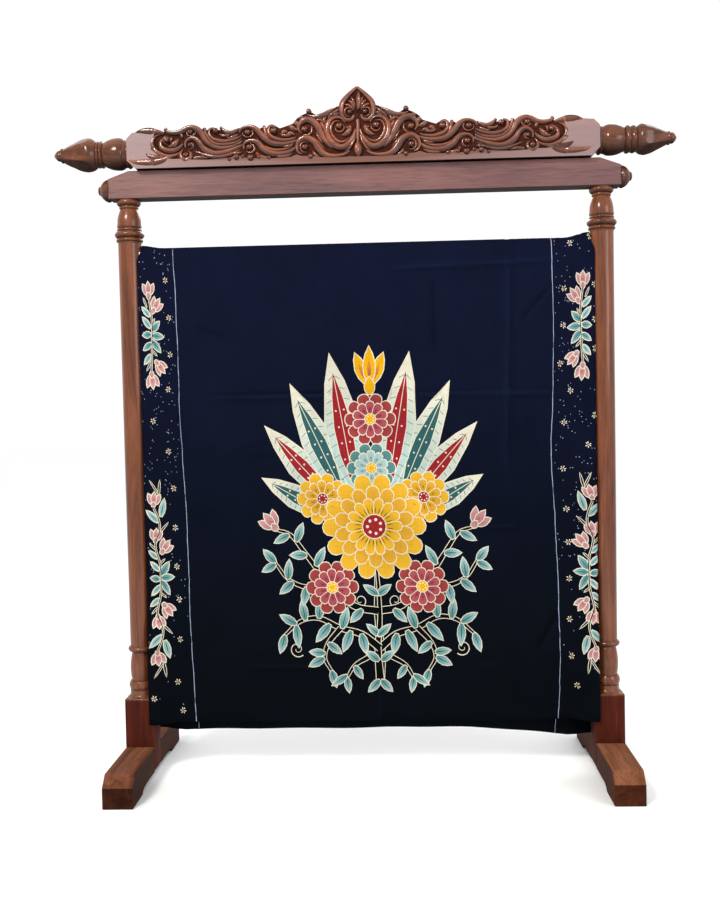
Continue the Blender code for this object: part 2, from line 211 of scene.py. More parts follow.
def turned(rings, sides):
    """A turned body along +Z, drawn out ring by ring from a disc."""
    deselect()
    first, radius = rings[0]
    bpy.ops.mesh.primitive_circle_add(
        vertices=sides, radius=radius, fill_type="NGON", location=(0.0, 0.0, first)
    )
    obj = bpy.context.object
    bpy.ops.object.mode_set(mode="EDIT")
    bpy.ops.mesh.select_all(action="SELECT")
    along = first
    for place, next_radius in rings[1:]:
        step = max(place - along, 0.00005)
        along += step
        bpy.ops.mesh.extrude_region_move(TRANSFORM_OT_translate={"value": (0.0, 0.0, step)})
        share = max(next_radius, 0.0004) / radius
        bpy.ops.transform.resize(value=(share, share, 1.0), center_override=(0.0, 0.0, along))
        radius = max(next_radius, 0.0004)
    bpy.ops.mesh.select_all(action="SELECT")
    bpy.ops.mesh.normals_make_consistent(inside=False)
    bpy.ops.object.mode_set(mode="OBJECT")
    bpy.ops.object.transform_apply(location=True, rotation=True, scale=True)
    return obj


def block(low, high, bevel, segments=3):
    """A box between two corners with rounded edges."""
    deselect()
    bpy.ops.mesh.primitive_cube_add(size=1.0, location=(Vector(low) + Vector(high)) / 2)
    obj = bpy.context.object
    obj.scale = Vector(high) - Vector(low)
    bpy.ops.object.transform_apply(location=True, rotation=True, scale=True)
    bpy.ops.object.mode_set(mode="EDIT")
    bpy.ops.mesh.select_all(action="SELECT")
    bpy.ops.mesh.bevel(offset=bevel, segments=segments, affect="EDGES")
    bpy.ops.object.mode_set(mode="OBJECT")
    return obj


# Materials


def add_node(tree, kind, inputs=None, stops=None, **settings):
    """Adds a node with its settings. An input is a value or another node's output."""
    made = tree.nodes.new(kind)
    for key, value in settings.items():
        setattr(made, key, value)
    for key, value in (inputs or {}).items():
        if isinstance(value, bpy.types.NodeSocket):
            tree.links.new(value, made.inputs[key])
        else:
            made.inputs[key].default_value = value
    if stops:
        elements = made.color_ramp.elements
        while len(elements) < len(stops):
            elements.new(1.0)
        for element, (place, colour) in zip(elements, stops):
            element.position = place
            element.color = (*colour, 1.0)
    return made


def new_material(name):
    made = bpy.data.materials.new(name)
    made.use_nodes = True
    return made, made.node_tree, made.node_tree.nodes["Principled BSDF"]


# how far and how much the wood darkens below the given height
DARKER_BELOW_BLEND = 0.006
DARKER_BELOW_TONE = (0.38, 0.16, 0.09, 1.0)


def varnished_teak(name, grain, painted_sheen=0.0, shade=1.0, carved=False, worn_with_painted_shade=False, darker_below=None):
    """Varnished teak: stained red-brown, straight grain with short open pores, under brushed varnish.

    The stain varies softly along the grain, pores show as short dark dashes and the varnish gives a
    clear gloss. The third argument mixes in a pale, greyer violet tone, painted sheen that stands in for
    the varnish's reflection, and shade below 1 darkens all of it. On carving the colour darkens from the
    crowns of the strokes into the hollows, dark stain together with painted shade, and the flats are
    painted paler and greyer towards the ends as a painted reflection. Faces turned downwards are darkened
    as painted shade. Worn wood has lost its gloss; painted shade darkens its sides and a painted bluish
    reflection lightens its faces turned up. Below the height of the last argument the wood is darker.
    """
    stand = bpy.context.scene.batik_stand
    made, tree, shader = new_material(name)
    place = add_node(tree, "ShaderNodeTexCoord").outputs["Object"]

    def along_grain(along_mm, across_mm):
        scale = [1000 / across_mm] * 3
        scale["XYZ".index(grain)] = 1000 / along_mm
        return add_node(tree, "ShaderNodeMapping", {"Vector": place, "Scale": scale}).outputs["Vector"]

    def toned(value, *stops):
        return add_node(tree, "ShaderNodeValToRGB", {"Fac": value}, stops=stops).outputs["Color"]

    def tinted(below, over, share=1.0):
        return add_node(
            tree, "ShaderNodeMix", {0: share, 6: below, 7: over}, data_type="RGBA", blend_type="MULTIPLY"
        ).outputs[2]

    def ranged(value, from_min, from_max, to_min, to_max):
        limits = {"From Min": from_min, "From Max": from_max, "To Min": to_min, "To Max": to_max}
        return add_node(tree, "ShaderNodeMapRange", {"Value": value, **limits}).outputs["Result"]

    # Broad figure about 30 mm across the grain, pores drawn 3 mm apart where real ones are 1 mm
    figure = add_node(
        tree, "ShaderNodeTexNoise",
        {"Vector": along_grain(420, 26), "Scale": 1.0, "Detail": 5.0, "Roughness": 0.6, "Distortion": 0.8},
    ).outputs["Fac"]
    pores = add_node(
        tree, "ShaderNodeTexNoise",
        {"Vector": along_grain(60, 2.6), "Scale": 1.0, "Detail": 3.0, "Roughness": 0.65},
    ).outputs["Fac"]
    stain = add_node(
        tree, "ShaderNodeTexNoise", {"Vector": place, "Scale": 2.4, "Detail": 3.0, "Roughness": 0.5}
    ).outputs["Fac"]
    dark, mid, light = (tuple(c) for c in (stand.dark_wood, stand.mid_wood, stand.light_wood))
    # painted sheen: a pale, greyer violet tone that stands in for the varnish's reflection, mixed in by the
    # third argument
    pale = linear("#685a66")
    tones = [tuple(v * shade for v in mixed(c, pale, painted_sheen)) for c in (dark, mid, light)]
    tone = toned(figure, (0.30, tones[0]), (0.50, tones[1]), (0.72, tones[2]))
    pore_tone = toned(pores, (0.36, (0.45, 0.40, 0.36)), (0.52, (1.0, 1.0, 1.0)))
    stain_tone = toned(stain, (0.34, (0.80, 0.73, 0.76)), (0.62, (1.10, 1.05, 1.00)))
    colour = tinted(tinted(tone, pore_tone, 0.55), stain_tone)
    if carved:
        # painted shade with dark stain: carved_height darkens the colour from the crowns of the strokes down
        # into the hollows and the ground
        height = add_node(tree, "ShaderNodeAttribute", attribute_name="carved_height").outputs["Fac"]
        depth_tone = toned(
            height, (0.0, (0.22, 0.12, 0.10)), (0.35, (0.44, 0.29, 0.25)), (0.75, (1.20, 1.06, 1.08)),
            (1.0, (1.20, 1.06, 1.08)),
        )
        colour = tinted(colour, depth_tone)
        # painted reflection: the flats are painted paler and greyer, most towards the ends
        painted_flat_reflection = toned(height, (0.92, linear("#5a382c")), (1.0, linear("#7e696a")))
        is_flat = ranged(height, 0.86, 0.92, 0.0, 0.82)
        colour = add_node(
            tree, "ShaderNodeMix", {0: is_flat, 6: colour, 7: painted_flat_reflection}, data_type="RGBA"
        ).outputs[2]
    # Painted shade: faces turned downwards are darkened. Worn wood also gets painted shade on its sides and a
    # painted bluish reflection on the faces turned up
    normal = add_node(tree, "ShaderNodeNewGeometry").outputs["Normal"]
    upward = add_node(tree, "ShaderNodeSeparateXYZ", {"Vector": normal}).outputs["Z"]
    stops = ((0.05, (0.12,) * 3), (0.5, (1.0,) * 3), (1.0, (1.0,) * 3))
    if worn_with_painted_shade:
        stops = (
            (0.05, (0.12,) * 3), (0.5, (0.30, 0.26, 0.25)), (0.66, (0.80, 0.86, 1.05)),
            (0.9, (1.15, 1.45, 2.0)),
        )
    facing = ranged(upward, -1.0, 1.0, 0.0, 1.0)
    colour = tinted(colour, toned(facing, *stops))
    # the wood is darker and without gloss below the given height
    if darker_below:
        above_floor = add_node(tree, "ShaderNodeSeparateXYZ", {"Vector": place}).outputs["Z"]
        deep = ranged(above_floor, darker_below - DARKER_BELOW_BLEND, darker_below, 0.0, 1.0)
        deep_tone = add_node(
            tree, "ShaderNodeMix", {0: deep, 6: DARKER_BELOW_TONE, 7: (1.0, 1.0, 1.0, 1.0)}, data_type="RGBA"
        ).outputs[2]
        colour = add_node(
            tree, "ShaderNodeVectorMath", {0: colour, 1: deep_tone}, operation="MULTIPLY"
        ).outputs["Vector"]
    tree.links.new(colour, shader.inputs["Base Color"])
    gloss = ranged(figure, 0.0, 1.0, 0.6 if worn_with_painted_shade else 0.20, 0.8 if worn_with_painted_shade else 0.34)
    # Rough where no polish reaches: on undersides and, on carving, in the hollows
    dull = ranged(facing, 0.1, 0.35, 1.0, 0.0)
    if carved:
        hollow = ranged(height, 0.1, 0.5, 1.0, 0.0)
        dull = add_node(tree, "ShaderNodeMath", {0: dull, 1: hollow}, operation="MAXIMUM").outputs["Value"]
    if darker_below:
        low = add_node(tree, "ShaderNodeMath", {0: 1.0, 1: deep}, operation="SUBTRACT").outputs["Value"]
        dull = add_node(tree, "ShaderNodeMath", {0: dull, 1: low}, operation="MAXIMUM").outputs["Value"]
    roughness = add_node(tree, "ShaderNodeMix", {0: dull, 2: gloss, 3: 0.95}).outputs[0]
    tree.links.new(roughness, shader.inputs["Roughness"])
    full_coat = 1.0 if carved else 0.3
    coat = ranged(dull, 0.0, 1.0, 0.0 if worn_with_painted_shade else full_coat, 0.0)
    tree.links.new(coat, shader.inputs["Coat Weight"])
    bump = add_node(
        tree, "ShaderNodeBump", {"Height": pores, "Strength": 0.25, "Distance": 0.0006}
    ).outputs["Normal"]
    tree.links.new(bump, shader.inputs["Normal"])
    shader.inputs["Specular IOR Level"].default_value = 0.06 if worn_with_painted_shade else 0.2
    shader.inputs["Coat Roughness"].default_value = 0.10
    return made


def dyed_cotton():
    """Fine plain-woven cotton, waxed and dyed: matt, uneven dye, faint threads and a soft bloom."""
    made, tree, shader = new_material("dyed_cotton")
    place = add_node(tree, "ShaderNodeUVMap", uv_map="flat_cloth").outputs["UV"]
    dye = add_node(tree, "ShaderNodeAttribute", attribute_name="dye").outputs["Color"]
    blotch = add_node(
        tree, "ShaderNodeTexNoise", {"Vector": place, "Scale": 7.0, "Detail": 4.0, "Roughness": 0.6}
    ).outputs["Fac"]

    def threads(across_mm, along_mm, turn):
        first, second = (along_mm, across_mm) if turn else (across_mm, along_mm)
        scale = (1000 / first, 1000 / second, 1.0)
        stretched = add_node(tree, "ShaderNodeMapping", {"Vector": place, "Scale": scale}).outputs["Vector"]
        return add_node(
            tree, "ShaderNodeTexNoise", {"Vector": stretched, "Scale": 1.0, "Detail": 2.0, "Roughness": 0.6}
        ).outputs["Fac"]

    # Real threads are 0.3 mm apart; they are drawn as slubs about 1.6 mm wide, so that they show
    warp, weft = threads(1.6, 60, False), threads(1.6, 60, True)
    weave = add_node(tree, "ShaderNodeMath", {0: warp, 1: weft}, operation="ADD").outputs["Value"]
    weave_tone = add_node(
        tree, "ShaderNodeMapRange",
        {"Value": weave, "From Min": 0.6, "From Max": 1.4, "To Min": 0.82, "To Max": 1.18},
    ).outputs["Result"]
    blotch_tone = add_node(
        tree, "ShaderNodeMapRange",
        {"Value": blotch, "From Min": 0.3, "From Max": 0.7, "To Min": 0.86, "To Max": 1.14},
    ).outputs["Result"]
    tone = add_node(
        tree, "ShaderNodeMath", {0: weave_tone, 1: blotch_tone}, operation="MULTIPLY"
    ).outputs["Value"]
    colour = add_node(tree, "ShaderNodeVectorMath", {0: dye, 1: tone}, operation="MULTIPLY").outputs["Vector"]
    tree.links.new(colour, shader.inputs["Base Color"])
    bump = add_node(
        tree, "ShaderNodeBump", {"Height": weave, "Strength": 0.35, "Distance": 0.0004}
    ).outputs["Normal"]
    tree.links.new(bump, shader.inputs["Normal"])
    shader.inputs["Roughness"].default_value = 0.8
    shader.inputs["Sheen Weight"].default_value = 0.015
    shader.inputs["Sheen Roughness"].default_value = 0.4
    shader.inputs["Sheen Tint"].default_value = (*linear("#4f64a8"), 1.0)
    shader.inputs["Specular IOR Level"].default_value = 0.03
    return made


# Turned parts. Each row: length, radius at its start, radius at its end, bulge outwards at its middle
POST_TURNINGS = (
    (0.0137, 0.0255, 0.0250, 0.0040),
    (0.0085, 0.0210, 0.0210, 0.0022),
    (0.0390, 0.0205, 0.0285, 0.0026),
    (0.0075, 0.0295, 0.0270, 0.0010),
    (0.0070, 0.0280, 0.0280, 0.0020),
    (0.0165, 0.0300, 0.0300, 0.0057),
    (0.0100, 0.0290, 0.0290, 0.0034),
    (0.0040, 0.0290, 0.0280, 0.0),
    (0.9815, 0.0280, 0.0252, 0.0),
    (0.0130, 0.0270, 0.0270, 0.0040),
    (0.0060, 0.0225, 0.0225, -0.0008),
    (0.0660, 0.0225, 0.0240, 0.0035),
    (0.0230, 0.0270, 0.0270, 0.0035),
    (0.0100, 0.0280, 0.0285, 0.0),
    (0.0070, 0.0285, 0.0345, -0.0010),
)
KNOB_TURNINGS = (
    (0.0040, 0.0260, 0.0275, 0.0),
    (0.0200, 0.0275, 0.0110, 0.0035),
    (0.0050, 0.0100, 0.0060, 0.0022),
)
LEFT_FINIAL_TURNINGS = (
    (0.0070, 0.0335, 0.0335, 0.0020),
    (0.0080, 0.0320, 0.0330, 0.0),
    (0.0120, 0.0340, 0.0385, 0.0010),
    (0.0385, 0.0385, 0.0275, 0.0032),
    (0.0080, 0.0290, 0.0290, 0.0035),
    (0.0085, 0.0285, 0.0285, 0.0035),
    (0.0200, 0.0300, 0.0400, 0.0020),
    (0.0370, 0.0400, 0.0285, 0.0025),
    (0.0250, 0.0285, 0.0165, 0.0010),
    (0.0050, 0.0165, 0.0175, 0.0005),
    (0.0180, 0.0125, 0.0030, 0.0045),
)
RIGHT_FINIAL_TURNINGS = (
    (0.0080, 0.0330, 0.0330, 0.0020),
    (0.0080, 0.0315, 0.0330, 0.0),
    (0.0120, 0.0335, 0.0370, 0.0010),
    (0.0360, 0.0370, 0.0275, 0.0030),
    (0.0130, 0.0300, 0.0300, 0.0035),
    (0.0140, 0.0295, 0.0295, 0.0035),
    (0.0180, 0.0290, 0.0375, 0.0020),
    (0.0300, 0.0375, 0.0270, 0.0015),
    (0.0260, 0.0270, 0.0150, 0.0000),
    (0.0050, 0.0150, 0.0165, 0.0005),
    (0.0170, 0.0120, 0.0040, 0.0050),
)
BUD_ROW = 6  # the finials' row where the bud begins
BUD_FACETS = 6
BUD_SCOOP = 0.12
CREST_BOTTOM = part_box("crest_board")[0].z
POST_X = 0.570
BLOCK_HALF = 0.0352
BLOCK_TOP = 0.192
BLOCK_BEVEL = 0.003


class BATIK_OT_turn_posts(bpy.types.Operator):
    """Turn the two posts, with the square block at each foot"""

    bl_idname = "batik.turn_posts"
    bl_label = "Turn the posts"

    def execute(self, context):
        low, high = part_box("post_left")
        sides = context.scene.batik_stand.turning_sides
        # the posts are darker below the top of their blocks
        look = varnished_teak("varnished_teak_upright", "Z", darker_below=BLOCK_TOP)
        rings = [(high.z - along, radius) for along, radius in turning_rings(POST_TURNINGS, 0.0)]
        shaft = turned(rings[::-1], sides)
        foot = block((-BLOCK_HALF, -BLOCK_HALF, low.z), (BLOCK_HALF, BLOCK_HALF, BLOCK_TOP), BLOCK_BEVEL)
        left = joined([shaft, foot], "post_left_turned")
        right = copied(left, "post_right_turned", (POST_X, 0.0, 0.0))
        left.location.x = -POST_X
        settle(left, "post_left_turned")
        for post, node in ((left, "post_left"), (right, "post_right")):
            shade(post)
            finish(post, look, "varnished_teak", node)
        return {"FINISHED"}


def scoop_bud(body, start, tip):
    """Carve a turned bud, which points along +Z, into scooped facets that meet in soft ridges."""
    for vert in body.data.vertices:
        share = (vert.co.z - start) / (tip - start)
        if 0 < share < 1:
            angle = math.atan2(vert.co.y, vert.co.x) * BUD_FACETS / 2
            depth = abs(math.sin(angle)) * smooth(0.02, 0.25, share) * smooth(0.86, 0.72, share)
            narrowed = 1.0 + BUD_SCOOP * (0.35 - depth) * smooth(0.0, 0.25, share) * smooth(0.86, 0.72, share)
            vert.co.x *= narrowed
            vert.co.y *= narrowed


class BATIK_OT_turn_finials(bpy.types.Operator):
    """Turn the crest's two finials and the knobs on the rail's ends"""

    bl_idname = "batik.turn_finials"
    bl_label = "Turn the finials and knobs"

    def execute(self, context):
        sides = context.scene.batik_stand.turning_sides
        look = varnished_teak("varnished_teak_finial", "X", shade=0.72)
        for name, node, side, turnings in (
            ("finial_left_turned", "finial_left", -1, LEFT_FINIAL_TURNINGS),
            ("finial_right_turned", "finial_right", 1, RIGHT_FINIAL_TURNINGS),
            ("rail_knob_left_turned", "rail_knob_left", -1, KNOB_TURNINGS),
            ("rail_knob_right_turned", "rail_knob_right", 1, KNOB_TURNINGS),
        ):
            low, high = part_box(node)
            start = low.x if side > 0 else -high.x
            body = turned(turning_rings(turnings, start), sides)
            if len(turnings) > len(KNOB_TURNINGS):
                bud_start = start + sum(row[0] for row in turnings[:BUD_ROW])
                scoop_bud(body, bud_start, start + sum(row[0] for row in turnings))
            body.rotation_euler = (0.0, side * math.pi / 2, 0.0)
            body.location = (0.0, 0.0, (low.z + high.z) / 2)
            settle(body, name)
            shade(body, 40)
            finish(body, look, "varnished_teak", node)
        return {"FINISHED"}


class BATIK_OT_finish_joinery(bpy.types.Operator):
    """Varnish the rail, the feet and the rod, whose solids already have their real shape"""

    bl_idname = "batik.finish_joinery"
    bl_label = "Varnish the rail, feet and rod"

    def execute(self, context):
        looks = {
            # the rail's colour mixes in painted sheen, a pale greyer violet
            "top_rail": varnished_teak("varnished_teak_rail", "X", 0.45, 0.98),
            "cloth_rod": varnished_teak("varnished_teak_rod", "X"),
            # painted shade on the feet's sides and undersides, painted bluish reflection on their tops
            "foot": varnished_teak("varnished_teak_foot", "Y", worn_with_painted_shade=True),
        }
        for node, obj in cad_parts.items():
            key = "foot" if node.startswith("foot") else node
            if key in looks:
                obj.data.materials.clear()
                obj.data.materials.append(looks[key])
        return {"FINISHED"}


# Crest: a square baulk behind, a board rising from its front, and the carving on the board.
# Carving is given in millimetres: distance from the carver's centre line, height above the crest's bottom
CREST_MIDDLE = -0.008
CREST_HALF_LENGTH = 0.561
CREST_FRONT = -0.044
CREST_BACK = 0.044
CREST_BOARD_BACK = 0.010
CREST_BAULK_TOP = 0.080
CREST_END_TOP = 0.0845
END_CHAMFER = 0.020  # of the crest's ends: below, on the board's top and on the baulk's top
TOP_CHAMFER = 0.014
BAULK_CHAMFER = 0.012
FLAT_TOP = (0.500, 0.0885)
CREST_OUTLINE = (
    (0, 178.7), (9, 169), (20, 159), (32, 150), (38, 140), (50, 137.5), (64, 129), (78, 120.5), (88, 119),
    (101, 121.5), (110, 127), (115, 133), (121.5, 124.5), (133, 120), (145, 112), (154, 101), (168, 96.5),
    (185, 91), (193, 95.5), (202, 96), (211, 89.5), (224, 95.5), (240, 89.5), (259, 92.5), (280, 91),
    (303, 85.5), (319, 92.5), (337, 91), (360, 92.5), (375, 87), (393, 93), (426, 88), (461, 91), (472, 85.7),
    (500, 91.5),
)
OUTLINE_INSET = 4.6  # the ground board stays behind the outer strokes
# Upper edge of the plain flat that runs below the carving and across the ends
FLAT_EDGE = (
    (0, 13), (20, 14), (36, 13), (60, 12), (88, 14), (108, 17), (133, 18), (146, 22), (160, 17), (180, 15),
    (206, 15), (225, 16), (240, 16), (262, 17), (280, 22), (291, 26), (303, 20), (330, 17), (360, 16),
    (385, 17), (410, 18), (424, 20), (440, 20), (455, 21), (470, 24), (482, 34), (489, 48), (491, 66),
    (486, 78), (484, 90),
)
FLAT_END_START = 450  # from here the edge turns up towards the board's top
# Strokes. Each row: half width at its start, middle and end, then its points
STROKES = (
    (2.2, 6.0, 2.6, ((530, 83), (514, 87), (496, 87), (479, 85), (462, 82))),
    (1.2, 4.5, 1.2,
     ((472, 80), (484, 76), (492, 64), (491, 50), (483, 39), (470, 31), (454, 27), (439, 29), (424, 36))),
    (1.4, 4.7, 1.4,
     ((456, 73), (467, 68), (472, 58), (468, 47), (456, 41), (442, 40), (429, 46), (417, 56))),
    (1.4, 2.4, 1.2, ((453, 56), (461, 59), (463, 67), (457, 72), (449, 69), (449, 60))),
    (1.4, 5.2, 0.7, ((456, 51), (445, 50), (436, 57), (426, 70))),
    (3.0, 6.6, 3.4, ((553, 22), (538, 15), (516, 13), (492, 13), (468, 17), (446, 27))),
    (1.2, 5.2, 1.6, ((511, 40), (504, 31), (490, 25), (472, 24), (456, 30))),
    (2.6, 5.2, 1.7,
     ((460, 93), (453, 85), (438, 82), (423, 84), (410, 90), (397, 93), (383, 89), (373, 80),
      (366, 66), (358, 55), (345, 47), (327, 42), (308, 44), (291, 49), (276, 58))),
    (1.9, 2.4, 0.9, ((390, 89), (388, 81), (392, 76), (401, 75), (407, 81), (406, 89))),
    (2.4, 3.3, 0.7, ((424, 80), (420, 75), (420, 67))),
    (1.4, 5.4, 1.7,
     ((412, 47), (411, 59), (402, 67), (391, 68), (380, 60), (371, 47), (359, 37), (342, 30),
      (323, 31), (306, 36), (289, 43), (274, 50))),
    (1.2, 2.4, 1.2, ((403, 43), (395, 47), (393, 56), (400, 60))),
    (1.2, 4.0, 0.9, ((391, 38), (373, 31), (352, 24), (332, 22), (312, 25), (292, 33), (276, 42))),
    (3.8, 4.0, 0.9, ((392, 20), (376, 22), (358, 20))),
    (1.2, 4.5, 1.4, ((417, 45), (424, 35), (422, 23), (412, 17), (401, 22), (399, 33), (405, 40))),
    (2.4, 3.5, 0.9, ((366, 92), (362, 76), (354, 63), (341, 53), (323, 50), (303, 52), (289, 57), (276, 65))),
    (1.4, 4.0, 0.9,
     ((342, 91), (352, 88), (355, 78), (348, 67), (336, 61), (319, 58), (301, 61), (288, 66), (277, 72))),
    (2.2, 4.2, 1.2, ((327, 93), (317, 83), (303, 78), (289, 84), (281, 89))),
    (0.9, 3.4, 0.9, ((314, 70), (305, 66), (294, 70), (284, 76))),
    (0.9, 3.0, 0.9, ((334, 79), (322, 72), (308, 73), (297, 79))),
    (0.9, 3.2, 0.7, ((474, 60), (474, 50), (466, 41), (453, 36))),
    (0.9, 3.0, 0.7, ((442, 76), (447, 66), (446, 57))),
    (0.9, 3.4, 0.9, ((380, 80), (370, 71), (362, 60), (352, 52))),
    (0.9, 3.2, 0.7, ((306, 30), (290, 29), (276, 33))),
    (0.9, 3.0, 0.7, ((231, 80), (226, 68), (216, 58), (204, 51))),
    (0.9, 3.2, 0.9, ((188, 74), (176, 68), (162, 70), (152, 78))),
    (0.9, 3.2, 0.7, ((182, 42), (164, 43), (150, 50))),
    (0.9, 3.0, 0.7, ((84, 47), (92, 62), (100, 78))),
    (1.2, 3.4, 1.0, ((104, 98), (94, 102), (84, 100), (80, 92))),
    (1.2, 3.4, 1.2, ((72, 112), (80, 104), (78, 92))),
    (1.4, 5.2, 1.4,
     ((283, 79), (277, 87), (265, 91), (251, 90), (239, 83), (229, 71), (218, 59), (201, 50),
      (179, 48), (160, 51), (142, 58))),
    (1.9, 2.4, 0.9, ((252, 85), (250, 76), (256, 69), (266, 69), (273, 74), (273, 83))),
    (2.4, 3.8, 1.4, ((223, 93), (221, 78), (217, 66), (206, 57))),
    (1.4, 4.2, 1.2,
     ((194, 89), (205, 92), (212, 86), (212, 74), (202, 63), (184, 57), (164, 58), (147, 63))),
    (1.7, 3.8, 1.2, ((182, 68), (175, 77), (166, 75))),
    (1.4, 3.5, 1.2, ((169, 65), (161, 73), (150, 69))),
    (1.4, 5.4, 1.7,
     ((272, 39), (271, 50), (262, 57), (247, 57), (235, 50), (224, 37), (206, 27), (185, 25),
      (164, 30), (146, 41))),
    (1.2, 4.0, 0.9, ((241, 65), (234, 53), (220, 41), (200, 34), (177, 35), (154, 42))),
    (1.2, 2.4, 1.2, ((266, 33), (256, 30), (247, 37), (248, 48), (257, 53))),
    (0.9, 3.3, 0.7, ((212, 23), (191, 19), (169, 20), (150, 29))),
    (1.7, 4.7, 0.9, ((243, 31), (234, 20), (222, 17), (213, 23))),
    (1.4, 5.7, 1.4,
     ((133, 24), (142, 29), (145, 39), (142, 51), (133, 59), (120, 60), (106, 53), (96, 39), (87, 27),
      (73, 18), (55, 16), (36, 19), (20, 28))),
    (1.2, 2.6, 1.2, ((117, 50), (127, 53), (136, 47), (137, 36), (130, 28), (119, 28))),
    (1.2, 3.5, 0.7, ((109, 32), (102, 20), (89, 14))),
    (1.4, 5.9, 1.9,
     ((133, 72), (140, 83), (136, 95), (124, 103), (109, 101), (97, 90), (89, 75), (82, 59), (72, 46),
      (61, 36))),
    (1.4, 2.6, 1.2, ((110, 90), (110, 77), (118, 69), (131, 70))),
    (1.9, 5.4, 0.9, ((120, 116), (107, 110), (92, 109), (77, 114), (64, 123), (50, 130))),
    (0.9, 4.5, 1.9, ((164, 93), (156, 85), (143, 80))),
    (1.2, 4.5, 2.1, ((147, 103), (144, 94), (140, 87))),
    (1.4, 4.5, 2.1, ((134, 114), (132, 107), (125, 104))),
    (0.9, 3.5, 0.9, ((111, 64), (100, 55), (88, 41), (78, 30))),
    (1.2, 3.8, 1.2, ((89, 101), (84, 88), (79, 73))),
    (1.4, 5.9, 2.1,
     ((29, 95), (37, 105), (50, 108), (64, 103), (73, 89), (74, 71), (67, 53), (52, 40), (36, 37),
      (21, 46), (10, 62), (4, 78))),
    (1.2, 3.3, 0.9, ((43, 99), (56, 98), (64, 86), (64, 71), (56, 57), (44, 49), (30, 51), (19, 60))),
    (1.2, 2.6, 1.2, ((34, 91), (33, 81), (41, 74), (50, 77), (54, 86))),
    (1.2, 4.7, 2.8, ((40, 65), (29, 67), (20, 76), (17, 87))),
    (1.2, 3.5, 1.2, ((69, 101), (66, 110), (54, 119), (43, 128))),
    (0.9, 2.8, 1.2, ((59, 107), (51, 114), (41, 118))),
    (1.7, 4.0, 2.1,
     ((0, 177), (12, 167), (25, 154), (34, 143), (38, 130), (38, 117), (34, 106), (25, 100), (14, 102),
      (8, 111))),
    (0.9, 2.6, 1.2, ((8, 122), (17, 129), (27, 128), (31, 119), (27, 110), (17, 108))),
    (0.9, 3.1, 0.9, ((7, 122), (16, 133), (26, 137), (34, 135))),
    (0.9, 3.1, 0.9, ((5, 126), (13, 141), (24, 148))),
    (0.9, 2.8, 0.9, ((4, 131), (9, 146), (16, 157))),
    (1.4, 3.5, 0.9, ((5, 70), (12, 50), (22, 34), (34, 26))),
)
CENTRE_STROKES = (
    (1.2, 4.7, 0.7, ((2, 122), (3, 138), (3, 152), (4, 168))),
    (2.8, 3.3, 2.1, ((1, 100), (1, 84), (0, 68), (0, 47))),
    (1.2, 7.4, 0.7, ((0, 52), (0, 40), (0, 24), (0, 10))),
)
BOSSES = (
    (456, 66, 5.9), (399, 83, 6.1), (400, 53, 5.2), (411, 29, 6.1), (338, 84, 6.1), (262, 78, 6.4),
    (258, 43, 6.4), (200, 80, 6.6), (126, 81, 7.1), (126, 39, 6.8), (44, 86, 7.1), (23, 82, 4.7),
    (18, 119, 5.2), (115, 123, 5.9), (113, 17, 5.2), (290, 20, 5.6), (274, 22, 4.6), (256, 18, 6.8),
    (236, 20, 5.4), (212, 17, 4.4), (307, 16, 3.8),
)
STROKE_WIDEN = 1.5
BOSS_SWELL = 1.14
PLAIN_SHADE = 0.78  # carved_height of varnished wood that is neither hollow nor a flat painted paler
STROKE_SECTION = (  # across, height: a stroke with a rounded ridge to one side and a soft slope beside it
    (-1.0, -0.25), (-0.96, 0.25), (-0.84, 0.62), (-0.62, 0.88), (-0.34, 1.0), (-0.02, 0.96),
    (0.30, 0.76), (0.58, 0.58), (0.80, 0.46), (0.95, 0.22), (1.0, -0.25),
)


def curve_through(points, steps=7):
    """Points on a smooth curve through the given ones, with each point's share of the way."""
    ends = [2 * points[0] - points[1], *points, 2 * points[-1] - points[-2]]
    curve = []
    for index in range(1, len(ends) - 2):
        a, b, c, d = ends[index - 1 : index + 3]
        for step in range(steps):
            t = step / steps
            square, cube = 2 * a - 5 * b + 4 * c - d, 3 * b - a - 3 * c + d
            curve.append(0.5 * ((2 * b) + (c - a) * t + square * t**2 + cube * t**3))
    curve.append(points[-1])
    lengths = [0.0]
    for before, after in zip(curve, curve[1:]):
        lengths.append(lengths[-1] + (after - before).length)
    return [(point, length / lengths[-1]) for point, length in zip(curve, lengths)]


def width_at(widths, share):
    start, middle, end = widths
    if share < 0.5:
        return start + (middle - start) * math.sin(math.pi * share)
    return end + (middle - end) * math.sin(math.pi * share)


def on_flat(place):
    """How far a place of the carving lies over the plain flat, from 0 to 1."""
    over = 0.0
    for before, after in zip(FLAT_EDGE, FLAT_EDGE[1:]):
        if before[0] <= place.x < after[0]:
            edge = before[1] + (after[1] - before[1]) * (place.x - before[0]) / (after[0] - before[0])
            over = max(over, smooth(edge + 5.0, edge - 3.0, place.y))
        if before[0] > FLAT_END_START and before[1] <= place.y < after[1]:
            edge = before[0] + (after[0] - before[0]) * (place.y - before[1]) / (after[1] - before[1])
            over = max(over, smooth(edge - 4.0, edge + 6.0, place.x))
    return over


